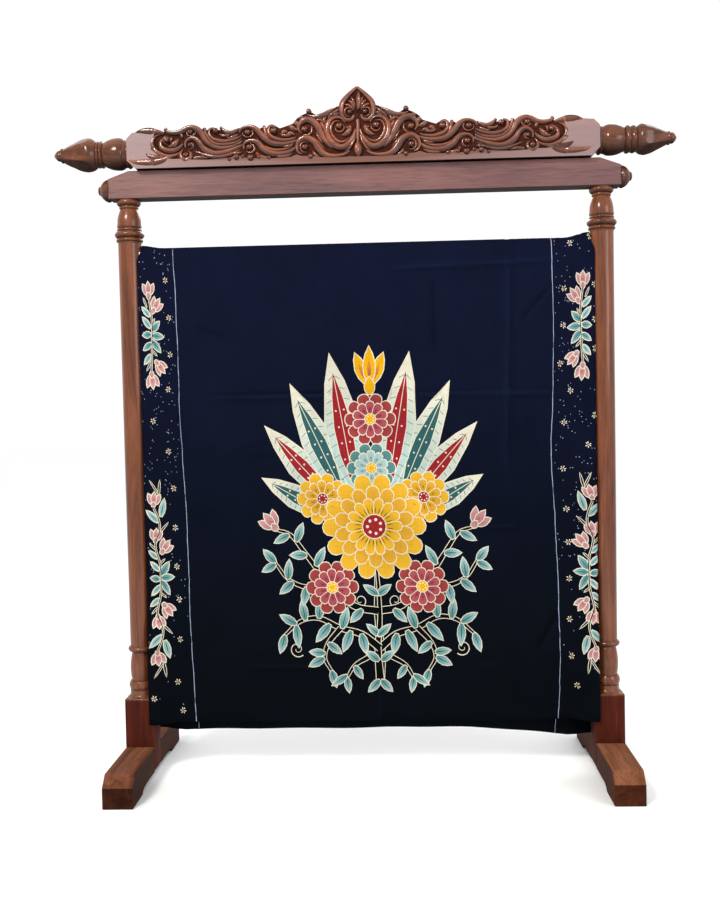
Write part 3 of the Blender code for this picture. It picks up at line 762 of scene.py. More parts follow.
def carve_stroke(data, heights, points, widths, side, ground):
    """One rounded, tapering stroke of the carving, closed all round."""
    curve = curve_through([Vector(point) for point in points])
    long_stroke = 0.8 if len(points) > 7 else 0.0
    sections = []
    for index, (place, share) in enumerate(curve):
        before, after = curve[max(index - 1, 0)][0], curve[min(index + 1, len(curve) - 1)][0]
        across = (after - before).normalized().orthogonal()
        half = width_at(widths, share) * STROKE_WIDEN + long_stroke
        over = on_flat(place)
        rise = min(half * 1.3, 4.0 + half * 0.8) * (1.0 - 0.7 * over)
        base = ground + (CREST_FRONT + 0.0015 - ground) * over
        section = []
        for a, h in STROKE_SECTION:
            at = place + across * a * half
            vert = data.verts.new(
                (CREST_MIDDLE + side * at.x * MM, base - rise * h * MM, CREST_BOTTOM + at.y * MM)
            )
            # the stroke's height paints it darker towards its foot: painted shade with dark stain
            heights.append(0.8 * min(max(h, 0.0), 1.0) * smooth(0.0, 6.0, rise))
            section.append(vert)
        sections.append(section)
    for row, next_row in zip(sections, sections[1:]):
        for index in range(len(row) - 1):
            data.faces.new((row[index], row[index + 1], next_row[index + 1], next_row[index]))
        data.faces.new((row[-1], row[0], next_row[0], next_row[-1]))
    data.faces.new(sections[0])
    data.faces.new(sections[-1])


def carve_boss(data, heights, away, up, radius, side, ground):
    """A round boss, or the ball at the end of a leaf."""
    radius *= BOSS_SWELL
    base = ground + (CREST_FRONT - ground) * 0.7 * on_flat(Vector((away, up)))
    centre = Vector((CREST_MIDDLE + side * away * MM, base - radius * 0.65 * MM, CREST_BOTTOM + up * MM))
    turn = Matrix.Rotation(math.pi / 2, 4, "X")
    made = bmesh.ops.create_uvsphere(
        data, u_segments=16, v_segments=9, radius=radius * MM, matrix=Matrix.Translation(centre) @ turn
    )
    for vert in made["verts"]:
        # the boss's height paints it darker towards its foot: painted shade with dark stain
        heights.append(0.8 * smooth(-0.2, 0.9, (base - vert.co.y) / (radius * 1.3 * MM)))


def slab(data, heights, outline, front, back, middle_shade, end_shade):
    """A prism whose outline lies in the board's plane."""
    rings = [[data.verts.new((x, y, z)) for x, z in outline] for y in (front, back)]
    # the flats' shade rises towards the ends, where the material paints them palest as a painted reflection
    reach = [smooth(0.30, 0.50, abs(x - CREST_MIDDLE)) for x, z in outline]
    heights.extend(middle_shade + (end_shade - middle_shade) * share for share in reach)
    heights.extend([PLAIN_SHADE] * len(outline))
    count = len(outline)
    for index in range(count):
        after = (index + 1) % count
        data.faces.new((rings[0][index], rings[0][after], rings[1][after], rings[1][index]))
    data.faces.new(rings[0])
    data.faces.new(rings[1])


def crest_parts(data, heights, ground):
    low = CREST_BOTTOM
    length = CREST_HALF_LENGTH
    # the baulk
    half = length - 0.001
    top = low + CREST_BAULK_TOP
    right = [
        (half - END_CHAMFER, low), (half, low + END_CHAMFER),
        (half, top - BAULK_CHAMFER), (half - BAULK_CHAMFER, top),
    ]
    baulk = [*right, *((-x, z) for x, z in right[::-1])]
    slab(data, heights, baulk[-1:] + baulk[:-1], ground + 0.001, CREST_BACK, PLAIN_SHADE, PLAIN_SHADE)
    # the ground board behind the carving
    rim = [(away, up - OUTLINE_INSET) for away, up in CREST_OUTLINE]
    outline = [(CREST_MIDDLE + a * MM, low + b * MM) for a, b in reversed(rim)]
    outline += [(CREST_MIDDLE - a * MM, low + b * MM) for a, b in rim[1:]]
    outline += [(outline[-1][0], low + 0.002), (outline[0][0], low + 0.002)]
    # its carved_height of 0.10 paints the ground board dark: painted shade with dark stain
    slab(data, heights, outline, ground, CREST_BOARD_BACK, 0.10, 0.10)
    # the flat: ends and the band below, one prism a half
    for side in (-1, 1):
        end = length - side * CREST_MIDDLE
        edge = [(CREST_MIDDLE + side * a * MM, low + b * MM) for a, b in FLAT_EDGE]
        outer = [
            (CREST_MIDDLE + side * (end - TOP_CHAMFER), low + CREST_END_TOP),
            (CREST_MIDDLE + side * end, low + CREST_END_TOP - TOP_CHAMFER),
            (CREST_MIDDLE + side * end, low + END_CHAMFER),
            (CREST_MIDDLE + side * (end - END_CHAMFER), low),
            (CREST_MIDDLE, low),
        ]
        top = (CREST_MIDDLE + side * FLAT_TOP[0], low + FLAT_TOP[1])
        # carved_height from 0.92 in the middle to 1.0 at the ends paints the flats paler: a painted reflection
        slab(data, heights, edge + [top] + outer, CREST_FRONT, CREST_BOARD_BACK, 0.92, 1.0)


class BATIK_OT_carve_crest(bpy.types.Operator):
    """Carve the crest board: scrolls, leaves and bosses standing from a lowered ground"""

    bl_idname = "batik.carve_crest"
    bl_label = "Carve the crest"

    def execute(self, context):
        ground = CREST_FRONT + context.scene.batik_stand.carving_ground
        data = bmesh.new()
        heights = []
        crest_parts(data, heights, ground)
        for side in (-1, 1):
            for *widths, points in STROKES:
                carve_stroke(data, heights, points, widths, side, ground)
            for away, up, radius in BOSSES:
                carve_boss(data, heights, away, up, radius, side, ground)
        for *widths, points in CENTRE_STROKES:
            carve_stroke(data, heights, points, widths, 1, ground - 0.002)
        bmesh.ops.recalc_face_normals(data, faces=data.faces)
        crest = object_from("crest_carved", data)
        layer = crest.data.attributes.new("carved_height", "FLOAT", "POINT")
        layer.data.foreach_set("value", heights)
        only(crest)
        bevel = crest.modifiers.new("eased edges", "BEVEL")
        bevel.width = 0.0012
        bevel.segments = 2
        bevel.limit_method = "ANGLE"
        bevel.angle_limit = math.radians(75)
        bpy.ops.object.modifier_apply(modifier=bevel.name)
        shade(crest, 40)
        for polygon in crest.data.polygons:
            if len(polygon.vertices) > 4:  # the board's flats stay flat
                polygon.use_smooth = False
        look = varnished_teak("varnished_teak_carved", "X", shade=1.12, carved=True)
        finish(crest, look, "varnished_teak", "crest_board")
        return {"FINISHED"}


# The cloth's shape, as its solid hangs.
# Flat places are metres across from the middle and down from the rod's top
ROD_RADIUS = 0.0135
ROD_Z = 1.273
CLOTH_THICK = 0.0012
CLOTH_SEAT = 0.0006
CLOTH_HALF_WIDTH = 0.575
BORDER_WIDTH = 0.115
LINE_ACROSS = CLOTH_HALF_WIDTH - BORDER_WIDTH
FRONT_HEM_Z = 0.128
BACK_HEM_Z = 0.1005
BACK_HEM_SAG = 0.024
FOLD_FADE = 0.22
POST_CLEARANCE = 0.0305
PASSING_RUN = 0.045
CORNER_LIFTS = {-1: 0.007, 1: 0.012}
TURNED_BACK = 0.020
TURN_RADIUS = 0.003
TURN_TOP = 0.780
TURN_FULL = 0.620
CLOTH_PLACES = (
    (1.300, -0.5485, -0.4620, 0.4490, 0.5485),
    (1.140, -0.5480, -0.4595, 0.4500, 0.5480),
    (0.920, -0.5475, -0.4555, 0.4460, 0.5475),
    (0.780, -0.5470, -0.4510, 0.4415, 0.5470),
    (0.610, -0.5465, -0.4460, 0.4465, 0.5460),
    (0.420, -0.5455, -0.4420, 0.4525, 0.5455),
    (0.280, -0.5450, -0.4395, 0.4565, 0.5450),
    (0.230, -0.5450, -0.4380, 0.4540, 0.5450),
    (0.060, -0.5445, -0.4360, 0.4440, 0.5440),
)
EDGE_DEPTHS = ((1.240, 0.0212), (0.400, 0.0225), (0.330, 0.0335), (0.230, 0.0390), (0.060, 0.0390))
FRONT_FOLDS = (
    (-0.400, 0.480, -0.410, 0.060, 0.035, -0.0050),
    (-0.330, 0.700, -0.315, 0.060, 0.055, 0.0070),
    (-0.160, 0.950, -0.120, 0.060, 0.080, 0.0080),
    (0.010, 0.400, 0.000, 0.060, 0.045, 0.0050),
    (0.120, 0.700, 0.135, 0.060, 0.060, 0.0060),
    (0.162, 1.260, 0.170, 0.750, 0.060, 0.0040),
    (0.260, 1.000, 0.300, 0.060, 0.075, 0.0085),
    (0.345, 1.270, 0.337, 0.600, 0.045, 0.0035),
    (0.470, 0.480, 0.390, 0.160, 0.045, 0.0050),
)
BACK_FOLDS = (
    (-0.360, 0.800, -0.380, 0.040, 0.070, 0.0080),
    (-0.180, 1.100, -0.200, 0.040, 0.080, 0.0060),
    (0.020, 0.750, 0.050, 0.040, 0.070, 0.0085),
    (0.240, 1.000, 0.210, 0.040, 0.080, 0.0060),
    (0.410, 0.700, 0.400, 0.040, 0.060, 0.0090),
)
# Creases pressed while the cloth lay folded. Millimetres: across and down at each end, half width, height
CREASES = (
    (-455, 372, 560, 377, 4.5, -2.2),
    (-440, 364, 330, 368, 4.0, 1.5),
    (-455, 381, 560, 387, 5.0, 1.3),
    (40, 71, 470, 60, 4.5, -1.8),
    (40, 80, 470, 69, 5.0, 1.2),
    (285, 696, 370, 696, 5.0, -1.8),
    (285, 704, 370, 704, 5.0, 1.2),
    (-325, 1031, -140, 1030, 5.0, -2.0),
    (-325, 1040, -140, 1039, 5.0, 1.2),
    (245, 1031, 300, 1031, 4.5, -1.6),
    (352, 8, 345, 590, 5.5, -1.8),
    (361, 8, 354, 590, 6.0, 1.2),
    (168, 85, 170, 295, 5.5, 1.5),
    (10, 1090, 8, 1166, 5.0, -1.8),
    (445, 128, 380, 202, 6.0, 1.6),
    (455, 132, 392, 206, 6.0, -1.2),
    (470, 878, 396, 1000, 7.0, 2.0),
    (482, 884, 408, 1006, 6.0, -1.5),
    (-300, 520, -180, 512, 6.0, 1.0),
    (-415, 200, -330, 232, 7.0, 1.0),
)
CREASE_PAINTED_SHADE = 260.0  # painted light and shade along the creases: the dye is multiplied by one less this times the rise in metres, darker where a crease stands out, paler where it sinks


def between_rows(rows, height):
    """The columns of a table of heights, read between its rows. Heights run downwards."""
    if height >= rows[0][0]:
        return rows[0][1:]
    for upper, lower in zip(rows, rows[1:]):
        if height >= lower[0]:
            share = smooth(upper[0], lower[0], height)
            return mixed(upper[1:], lower[1:], share)
    return rows[-1][1:]


def fold_depth(folds, x, height):
    depth = 0.0
    for top_x, top_z, foot_x, foot_z, half_width, push in folds:
        middle = foot_x + (top_x - foot_x) * (height - foot_z) / (top_z - foot_z)
        begun = 1 - smooth(top_z - FOLD_FADE, top_z, height)
        depth += push * begun * math.exp(-(((x - middle) / half_width) ** 2))
    return depth


def bend_radius():
    return ROD_RADIUS + CLOTH_SEAT + CLOTH_THICK / 2


def hem_run(across, back):
    """Flat length from the rod's top to the hem."""
    hem = FRONT_HEM_Z
    if back:
        hem = BACK_HEM_Z - BACK_HEM_SAG * smooth(0.2, CLOTH_HALF_WIDTH, across)
    return bend_radius() * math.pi / 2 + ROD_Z - hem


def turned_share(height, side, back):
    return 0.0 if back or side < 0 else 1 - smooth(TURN_FULL, TURN_TOP, height)


def cloth_point(across, run, back):
    """A point of the cloth's middle surface, from its flat place."""
    facing = 1 if back else -1
    side = 1 if across > 0 else -1
    radius = bend_radius()
    angle = min(run / radius, math.pi / 2)
    height = ROD_Z + radius * math.cos(angle) - max(run - radius * math.pi / 2, 0.0)
    depth = radius * math.sin(angle)
    folds = BACK_FOLDS if back else FRONT_FOLDS
    hanging = smooth(0.0, 0.08, run - radius)

    left_edge, left_line, right_line, right_edge = between_rows(CLOTH_PLACES, height)
    (edge_depth,) = between_rows(EDGE_DEPTHS, height)
    if abs(across) <= LINE_ACROSS:
        share = (across + LINE_ACROSS) / (2 * LINE_ACROSS)
        x = left_line + (right_line - left_line) * share
        depth += fold_depth(folds, x, height) * hanging
        return Vector((x, facing * depth, height))

    folded = TURNED_BACK * turned_share(height, side, back)
    line, edge = (left_line, left_edge) if side < 0 else (right_line, right_edge)
    passing = smooth(0.0, PASSING_RUN, run)
    top_angle = math.acos((POST_X - abs(edge)) / POST_CLEARANCE)
    if run < PASSING_RUN:
        edge = side * (POST_X - POST_CLEARANCE * math.cos(top_angle * passing))
        edge_depth = max(depth, POST_CLEARANCE * math.sin(top_angle * passing))
    turn_angle = min(folded / TURN_RADIUS, math.pi)
    edge -= side * TURN_RADIUS * math.sin(min(turn_angle, math.pi / 2))
    edge_depth += TURN_RADIUS * (1 - math.cos(turn_angle))

    face_width = BORDER_WIDTH - folded
    share = min((abs(across) - LINE_ACROSS) / face_width, 1.0)
    x = line + (edge - line) * share
    forward = smooth(0.30, 0.86, share)
    depth += fold_depth(folds, x, height) * (1 - forward) * hanging
    depth += (edge_depth - depth) * forward
    height += CORNER_LIFTS[side] * smooth(0.35, 1.0, share) * (1 - passing)

    beyond = abs(across) - LINE_ACROSS - face_width
    if beyond > 0:
        round_angle = min(beyond / TURN_RADIUS, math.pi)
        x += side * TURN_RADIUS * math.sin(round_angle)
        depth -= TURN_RADIUS * (1 - math.cos(round_angle))
        x -= side * max(beyond - TURN_RADIUS * math.pi, 0.0)
    return Vector((x, facing * depth, height))


def crease_height(across, run):
    """How far a crease lifts or sinks the front at a flat place, in metres."""
    lift = 0.0
    here = Vector((across / MM, run / MM))
    for start_x, start_y, end_x, end_y, half_width, height in CREASES:
        start, along = Vector((start_x, start_y)), Vector((end_x - start_x, end_y - start_y))
        share = min(max((here - start).dot(along) / along.length_squared, 0.0), 1.0)
        away = (here - start - along * share).length / half_width
        if away < 3:
            lift += height * MM * math.exp(-(away**2)) * smooth(0.0, 0.2, share) * smooth(1.0, 0.8, share)
    return lift


def smooth_cloth_point(across, run, back):
    """The hanging place of a flat place, with creases and the small unevenness of the fabric."""
    point = cloth_point(across, run, back)
    clear = smooth(0.03, 0.12, run) * smooth(CLOTH_HALF_WIDTH - 0.03, CLOTH_HALF_WIDTH - 0.075, abs(across))
    uneven = noise.noise(Vector((across * 9, run * 5, 3.0 if back else 0.0))) * 0.0016
    uneven += noise.noise(Vector((across * 34, run * 22, 9.0))) * 0.0004
    lift = uneven * clear
    if not back:
        lift += crease_height(across, run) * smooth(0.02, 0.05, run)
    return point + Vector((0.0, lift if back else -lift, 0.0))


# The drawing. Places on a border are millimetres in from the cloth's edge and down from the rod's top
UPPER_VINE_STEM = ((33, 128), (38, 160), (41, 195), (39, 235), (37, 272), (34, 308))
UPPER_VINE = (
    ("thorn", 26, 152, 16, 130, 6), ("thorn", 41, 198, 49, 180, 6), ("thorn", 40, 258, 52, 270, 6),
    ("thorn", 34, 284, 20, 306, 7), ("leaf", 34, 174, 11, 152, 14), ("leaf", 35, 202, 12, 176, 15),
    ("leaf", 33, 268, 14, 290, 15), ("deep leaf", 41, 209, 63, 187, 19), ("deep leaf", 36, 218, 11, 220, 18),
    ("deep leaf", 36, 240, 12, 256, 16), ("deep leaf", 41, 234, 64, 262, 18),
    ("deep leaf", 41, 221, 75, 225, 19),
    ("bud", 33, 131, 32, 91, 33), ("bud", 42, 166, 66, 132, 32), ("bud", 47, 282, 74, 312, 30),
    ("bud", 34, 309, 38, 350, 34),
)
LOWER_VINE_STEM = (
    (26, 640), (37, 664), (41, 684), (38, 702), (28, 726), (30, 748), (38, 776), (39, 812), (37, 850),
    (30, 878),
    (27, 900), (37, 924), (41, 942), (37, 962), (26, 988),
)
LOWER_VINE_HALF = (
    ("thorn", 41, 606, 17, 572, 6), ("thorn", 41, 608, 46, 572, 9), ("thorn", 38, 702, 64, 676, 7),
    ("thorn", 26, 740, 12, 726, 6), ("thorn", 39, 775, 51, 765, 6), ("leaf", 45, 660, 56, 617, 18),
    ("leaf", 36, 673, 5, 645, 17), ("leaf", 31, 762, 9, 744, 13), ("leaf", 34, 792, 13, 771, 14),
    ("bud", 25, 637, 29, 601, 34), ("bud", 27, 724, 32, 690, 31), ("bud", 42, 751, 66, 720, 32),
)
LOWER_VINE_MIDDLE = 812
LOWER_VINE_BLOSSOM = (
    ("deep leaf", 41, 803, 62, 772, 20), ("deep leaf", 35, 814, 11, 810, 17), ("leaf", 36, 830, 15, 850, 13),
    ("deep leaf", 42, 818, 61, 852, 17), ("deep leaf", 41, 811, 74, 809, 19),
)
BLOSSOMS = {
    -1: ((86, 88), (93, 179), (92, 268), (82, 352), (34, 428), (74, 503), (84, 593), (83, 689), (83, 784),
         (86, 865), (84, 963), (73, 1068), (15, 1103), (84, 1139)),
    1: ((63, 24), (84, 131), (87, 219), (95, 310), (67, 375), (4, 435), (83, 451), (21, 505), (87, 562),
        (87, 659), (84, 739), (86, 827), (88, 925), (86, 1015), (71, 1086), (2, 16), (1, 123), (1, 206),
        (1, 275)),
}
DOTS_FRONT = 250
DOTS_BACK = 110
LINE_STEP = 15  # millimetres drawn at a stretch
LINE_WORN_FROM = 70  # the stretch where the left border's line starts to break up
DOT_ANGLES = tuple(math.tau * step / 6 for step in range(6))


def clipped(outline, axis, limit, sign):
    """The part of an outline on the inner side of a straight limit."""
    kept = []
    for before, here in zip(outline[-1:] + outline[:-1], outline):
        was_in, is_in = sign * before[axis] <= sign * limit, sign * here[axis] <= sign * limit
        if was_in != is_in:
            kept.append(mixed(before, here, (limit - before[axis]) / (here[axis] - before[axis])))
        if is_in:
            kept.append(tuple(here))
    return kept


class Drawing:
    """Waxed and dyed shapes on the flat cloth. A later shape covers an earlier one."""

    def __init__(self):
        self.points = []
        self.faces = []
        self.dyes = []

    def shape(self, outline, dye, far_dye=None, start=None, end=None):
        """A filled outline, in one dye or shading from dye at start to far_dye at end."""
        limits = ((0, CLOTH_HALF_WIDTH, 1), (0, -CLOTH_HALF_WIDTH, -1))
        for axis, limit, sign in (*limits, (1, hem_run(0.0, True), 1), (1, -hem_run(0.0, False), -1)):
            outline = clipped(outline, axis, limit - sign * 1e-5, sign)
        if len(outline) < 3:
            return
        area = sum(a[0] * b[1] - b[0] * a[1] for a, b in zip(outline, outline[1:] + outline[:1]))
        if abs(area) < 2e-7:
            return
        if area < 0:
            outline = outline[::-1]
        first = len(self.points)
        self.points.extend(outline)
        self.faces.append(list(range(first, len(self.points))))
        self.dyes.append((dye, far_dye, start, end))

    def line(self, place, points, width, dye, end_width=None):
        """A drawn line, as a chain of short four-sided shapes."""
        sides = []
        for index, point in enumerate(points):
            before, after = points[max(index - 1, 0)], points[min(index + 1, len(points) - 1)]
            across = (Vector(after) - Vector(before)).normalized().orthogonal()
            share = index / (len(points) - 1)
            half = (width + ((width if end_width is None else end_width) - width) * share) / 2
            sides.append([Vector(point) + across * half, Vector(point) - across * half])
        for (a, b), (c, d) in zip(sides, sides[1:]):
            self.shape([place(*a), place(*b), place(*d), place(*c)], dye)

    def leaf(self, place, base, tip, width, dye, far_dye, edge, edge_width, blunt=False):
        """A pointed leaf or petal: a waxed outline round a dyed inside."""
        base, tip = Vector(base), Vector(tip)
        along = tip - base
        out = along.normalized()
        across = out.orthogonal()
        swell = ((0.0, 0.30), (0.24, 0.88), (0.5, 1.0), (0.78, 0.56))
        if along.length < 14:
            swell = ((0.1, 0.5), (0.5, 1.0))
        if blunt:
            swell = ((0.0, 0.26), (0.4, 0.76), (0.7, 1.0), (0.88, 0.84), (0.97, 0.45))
        layers = [(edge_width, (edge,))] if edge_width else []
        for grow, colours in (*layers, (0.0, (dye, far_dye, place(*base), place(*tip)))):
            start, reach = base - out * grow, along.length + grow * 2.4
            right = [start + out * reach * t + across * (w * width / 2 + grow) for t, w in swell]
            left = [start + out * reach * t - across * (w * width / 2 + grow) for t, w in swell]
            self.shape([place(*p) for p in right + [start + out * reach] + left[::-1]], *colours)


def draw_bud(drawing, place, base, tip, width, dyes):
    """Three pointed petals, shut to a bud."""
    base, tip = Vector(base), Vector(tip)
    along, across = tip - base, (tip - base).normalized().orthogonal()
    cup = base + along * 0.22
    for share, reach in ((-1.0, 0.86), (1.0, 0.86), (0.0, 1.0)):
        end = base + along * reach + across * share * width * 0.5
        start = cup + across * share * width * 0.10
        drawing.leaf(place, start, end, width * 0.42, dyes["dusty_pink"], dyes["pink"], dyes["cream"], 2.1)
        middle = start + (end - start) * 0.15
        end = start + (end - start) * 0.72
        drawing.leaf(place, middle, end, width * 0.14, dyes["rose"], dyes["pink"], dyes["rose"], 0.0)
    cup_tip = base + along * 0.36
    base = base - along * 0.02
    drawing.leaf(place, base, cup_tip, width * 0.36, dyes["pink"], dyes["dusty_pink"], dyes["cream"], 1.8)


def draw_sprig(drawing, place, rows, dyes):
    for kind, base_x, base_y, tip_x, tip_y, width in rows:
        base, tip = (base_x, base_y), (tip_x, tip_y)
        if kind == "thorn":
            drawing.leaf(place, base, tip, width * 0.5, dyes["black"], dyes["black"], dyes["cream"], 1.5)
        elif kind == "bud":
            draw_bud(drawing, place, base, tip, width, dyes)
        else:
            near, far = ("teal", "mid_teal") if kind == "deep leaf" else ("mid_teal", "pale_teal")
            drawing.leaf(place, base, tip, width * 0.84, dyes[near], dyes[far], dyes["cream"], 1.9)
            start, end = Vector(base), Vector(tip)
            drawing.leaf(
                place, start + (end - start) * 0.12, start + (end - start) * 0.8, width * 0.16,
                dyes["deep_teal"], dyes["teal"], dyes["teal"], 0.0,
            )


def smooth_line(points, steps=5):
    return [tuple(point) for point, _ in curve_through([Vector(point) for point in points], steps)]


def draw_blossom(drawing, place, centre, size, rng, dyes):
    """A small scattered blossom of loose dabs."""
    turn = rng.uniform(0, math.tau)
    tone = mixed(dyes["cream"], dyes["gold"], rng.uniform(0.05, 0.25))
    for step in range(6):
        angle = turn + math.tau * step / 6 + rng.uniform(-0.2, 0.2)
        out = Vector((math.cos(angle), math.sin(angle)))
        start = Vector(centre) + out * size * 0.22
        side = out.orthogonal() * size * 0.17
        reach = out * size * 0.72
        dab = (start, start + reach * 0.55 + side, start + reach, start + reach * 0.55 - side)
        drawing.shape([place(*p) for p in dab], tone)
    ring = [Vector(centre) + Vector((math.cos(a), math.sin(a))) * size * 0.16 for a in (0, 1.6, 3.1, 4.7)]
    drawing.shape([place(*p) for p in ring], mixed(tone, dyes["black"], 0.3))


def draw_border(drawing, side, back, dyes, settings):
    rng = random.Random(11 + side + (40 if back else 0))
    sign = 1 if back else -1
    waver = random.Random(5 + side)

    def place(inwards, down):
        return (side * (CLOTH_HALF_WIDTH - inwards * MM), sign * down * MM)

    length = hem_run(0.0, back) / MM
    # fine wax dots in drifts, closer together near the top
    for _ in range(DOTS_BACK if back else DOTS_FRONT):
        inwards, down = rng.uniform(2, 110), rng.uniform(3, length - 8) * rng.uniform(0.55, 1.0)
        drift = noise.noise(Vector((inwards * 0.03, down * 0.011, side * 3.0)))
        if drift < -0.2:
            continue
        size = rng.uniform(1.2, 1.5)
        tone = mixed(dyes["line"], dyes["black"], rng.uniform(0.1, 0.6))
        ring = [Vector((inwards, down)) + Vector((math.cos(a), math.sin(a))) * size for a in DOT_ANGLES]
        drawing.shape([place(*p) for p in ring], tone)
    # the wax line, drawn freehand
    steps = int(length / LINE_STEP)
    line = []
    for step in range(steps + 1):
        down = min(step * length / steps, length)
        line.append((115 + waver.uniform(-0.6, 0.6) + 1.4 * math.sin(down * 0.013 + side), down))
    width = settings.line_width / MM
    for index, (a, b) in enumerate(zip(line, line[1:])):
        often = side < 0 and index > LINE_WORN_FROM and index % 4 == 1
        broken = often or index % 23 == 17
        drawing.line(place, [a, b], width * waver.uniform(0.75, 1.1) * (0.4 if broken else 1.0), dyes["line"])
    for spot in BLOSSOMS[side]:
        draw_blossom(drawing, place, spot, 9.2, rng, dyes)

    def mirrored(inwards, down):
        return place(inwards, 2 * LOWER_VINE_MIDDLE - down)

    for stem in (UPPER_VINE_STEM, LOWER_VINE_STEM):
        drawing.line(place, smooth_line(stem), 5.6, dyes["cream"])
    draw_sprig(drawing, place, UPPER_VINE, dyes)
    for half in (place, mirrored):
        draw_sprig(drawing, half, LOWER_VINE_HALF, dyes)
    draw_sprig(drawing, place, LOWER_VINE_BLOSSOM, dyes)
    for stem in (UPPER_VINE_STEM, LOWER_VINE_STEM):
        drawing.line(place, smooth_line(stem), 2.4, dyes["black"])


# The middle's bouquet, in millimetres from its own centre: across, up.
# These are its left half; the right half mirrors it
BOUQUET_PLACE = (12, 660)
BOUQUET_STEMS = (
    # half a stem's width where it starts, then its points
    (11.0, ((0, -412), (-5, -330), (4, -250), (0, -120))),
    (10.0, ((0, -330), (-44, -296), (-96, -280), (-148, -254), (-196, -262), (-236, -296))),
    (10.0, ((0, -240), (-60, -226), (-120, -170), (-172, -100), (-208, -52), (-244, -38))),
    (7.5, ((-96, -280), (-128, -316), (-138, -352), (-122, -384))),
    (7.5, ((-120, -170), (-176, -178), (-222, -158), (-252, -118))),
    (6.5, ((-30, -352), (-64, -372), (-84, -402))),
)
BOUQUET_SPEARS = (
    # base across and up, tip across and up, width, and whether its inside is red
    (-96, 30, -262, 214, 66, True), (-74, 50, -196, 314, 74, False), (-42, 60, -98, 386, 84, True),
    (-120, 0, -274, 88, 56, False),
)
BOUQUET_SPRAYS = (
    (-44, -296, -34, -344, 26), (-70, -288, -92, -338, 26), (-92, -280, -76, -230, 26),
    (-122, -270, -158, -312, 26),
    (-148, -254, -140, -204, 26), (-182, -258, -190, -210, 24), (-206, -268, -246, -246, 24),
    (-236, -296, -250, -340, 24), (-206, -272, -202, -326, 24), (-40, -236, -70, -266, 24),
    (-140, -352, -178, -372, 24), (-122, -384, -110, -424, 22), (-128, -316, -96, -342, 22),
    (-138, -340, -176, -336, 22), (-84, -402, -78, -438, 20), (-64, -374, -44, -404, 20),
    (-84, -396, -122, -420, 20),
    (-176, -178, -186, -222, 24), (-210, -166, -244, -194, 24), (-222, -158, -216, -110, 24),
    (-252, -118, -280, -86, 24), (-252, -122, -286, -140, 22),
    (-150, -126, -126, -82, 24), (-172, -100, -214, -100, 24), (-196, -66, -178, -22, 24),
    (-214, -50, -252, -70, 22),
    (-4, -360, -34, -338, 22), (-2, -408, -30, -436, 22), (-2, -300, 30, -272, 20), (0, -200, -34, -176, 22),
)
BOUQUET_BUDS = ((-244, -38, -276, 2, 46),)
BOUQUET_ROSETTES = (
    # across, up, radius, colours from the outer ring inwards
    (-112, -180, 64, ("red", "rose", "gold")),
    (-126, 36, 62, ("gold", "amber", "red")),
)
BOUQUET_MIDDLE = (
    (0, 226, 62, ("red", "rose", "gold")),
    (0, 108, 60, ("teal", "pale_teal", "gold")),
    (0, -34, 128, ("gold", "amber", "gold", "red")),
)


def draw_spear(drawing, place, base, tip, width, red, dyes):
    """A tall pointed leaf: waxed outline and ribs, dyed inside, with a hatched cream margin."""
    base, tip = Vector(base), Vector(tip)
    along = tip - base
    across = along.normalized().orthogonal()
    inside = dyes["red"] if red else dyes["deep_teal"]
    drawing.leaf(place, base, tip, width, dyes["pale_teal"], dyes["cream"], dyes["cream"], 2.2)
    for share in (0.12, 0.20, 0.28, 0.36, 0.44, 0.52, 0.60, 0.68, 0.76, 0.84):
        reach = width * 0.5 * math.sin(math.pi * min(share * 0.9 + 0.12, 1.0))
        middle = base + along * share
        for side in (-1, 1):
            end = middle + across * side * reach * 0.92 - along * 0.035
            drawing.line(place, [middle, end], 1.5, dyes["deep_teal"], 1.2)
    start, end = base + along * 0.06, base + along * 0.86
    drawing.leaf(place, start, end, width * 0.52, inside, inside, dyes["cream"], 1.8)
    drawing.line(place, [base + along * 0.08, base + along * 0.82], 1.8, dyes["cream"])
    for share in (0.22, 0.34, 0.46, 0.58):
        for side in (-1, 1):
            spot = base + along * share + across * side * width * 0.12
            ring = [spot + Vector((math.cos(a), math.sin(a))) * 2.6 for a in (0, 1.25, 2.5, 3.8, 5.0)]
            drawing.shape([place(*p) for p in ring], dyes["cream"])


def draw_rosette(drawing, place, centre, radius, rings, dyes):
    """A stylised full blossom: rings of petals round a dotted eye."""
    centre = Vector(centre)
    count = 14 if radius > 80 else 10
    for level, name in enumerate(rings[:-1]):
        reach = radius * (1.0 - level / len(rings) * 0.92)
        dye = dyes[name]
        deep, pale = mixed(dye, dyes["black"], 0.30), mixed(dye, dyes["cream"], 0.06)
        for step in range(count):
            angle = math.tau * (step + level * 0.5) / count
            out = Vector((math.cos(angle), math.sin(angle)))
            base, tip = centre + out * reach * 0.28, centre + out * reach
            width = math.tau * reach / count * 0.74
            drawing.leaf(place, base, tip, width, deep, pale, dyes["cream"], 1.5, blunt=True)
            for share in (-0.2, 0.2) if radius > 80 else (0.0,):
                side = out.orthogonal() * width * share
                drawing.leaf(
                    place, base + out * reach * 0.2 + side, base + out * reach * 0.46 + side * 1.3,
                    2.6, dyes["black"], deep, deep, 0.0,
                )
    eye = radius * 0.24
    for size, name in ((eye, "cream"), (eye - 2, rings[-1])):
        angles = (math.tau * step / 14 for step in range(14))
        ring = [centre + Vector((math.cos(a), math.sin(a))) * size for a in angles]
        drawing.shape([place(*p) for p in ring], dyes[name])
    for step in range(7):
        angle = math.tau * step / 7
        spot = centre + Vector((math.cos(angle), math.sin(angle))) * eye * 0.56
        ring = [spot + Vector((math.cos(a), math.sin(a))) * eye * 0.14 for a in (0, 1.25, 2.5, 3.8, 5.0)]
        drawing.shape([place(*p) for p in ring], dyes["cream"])


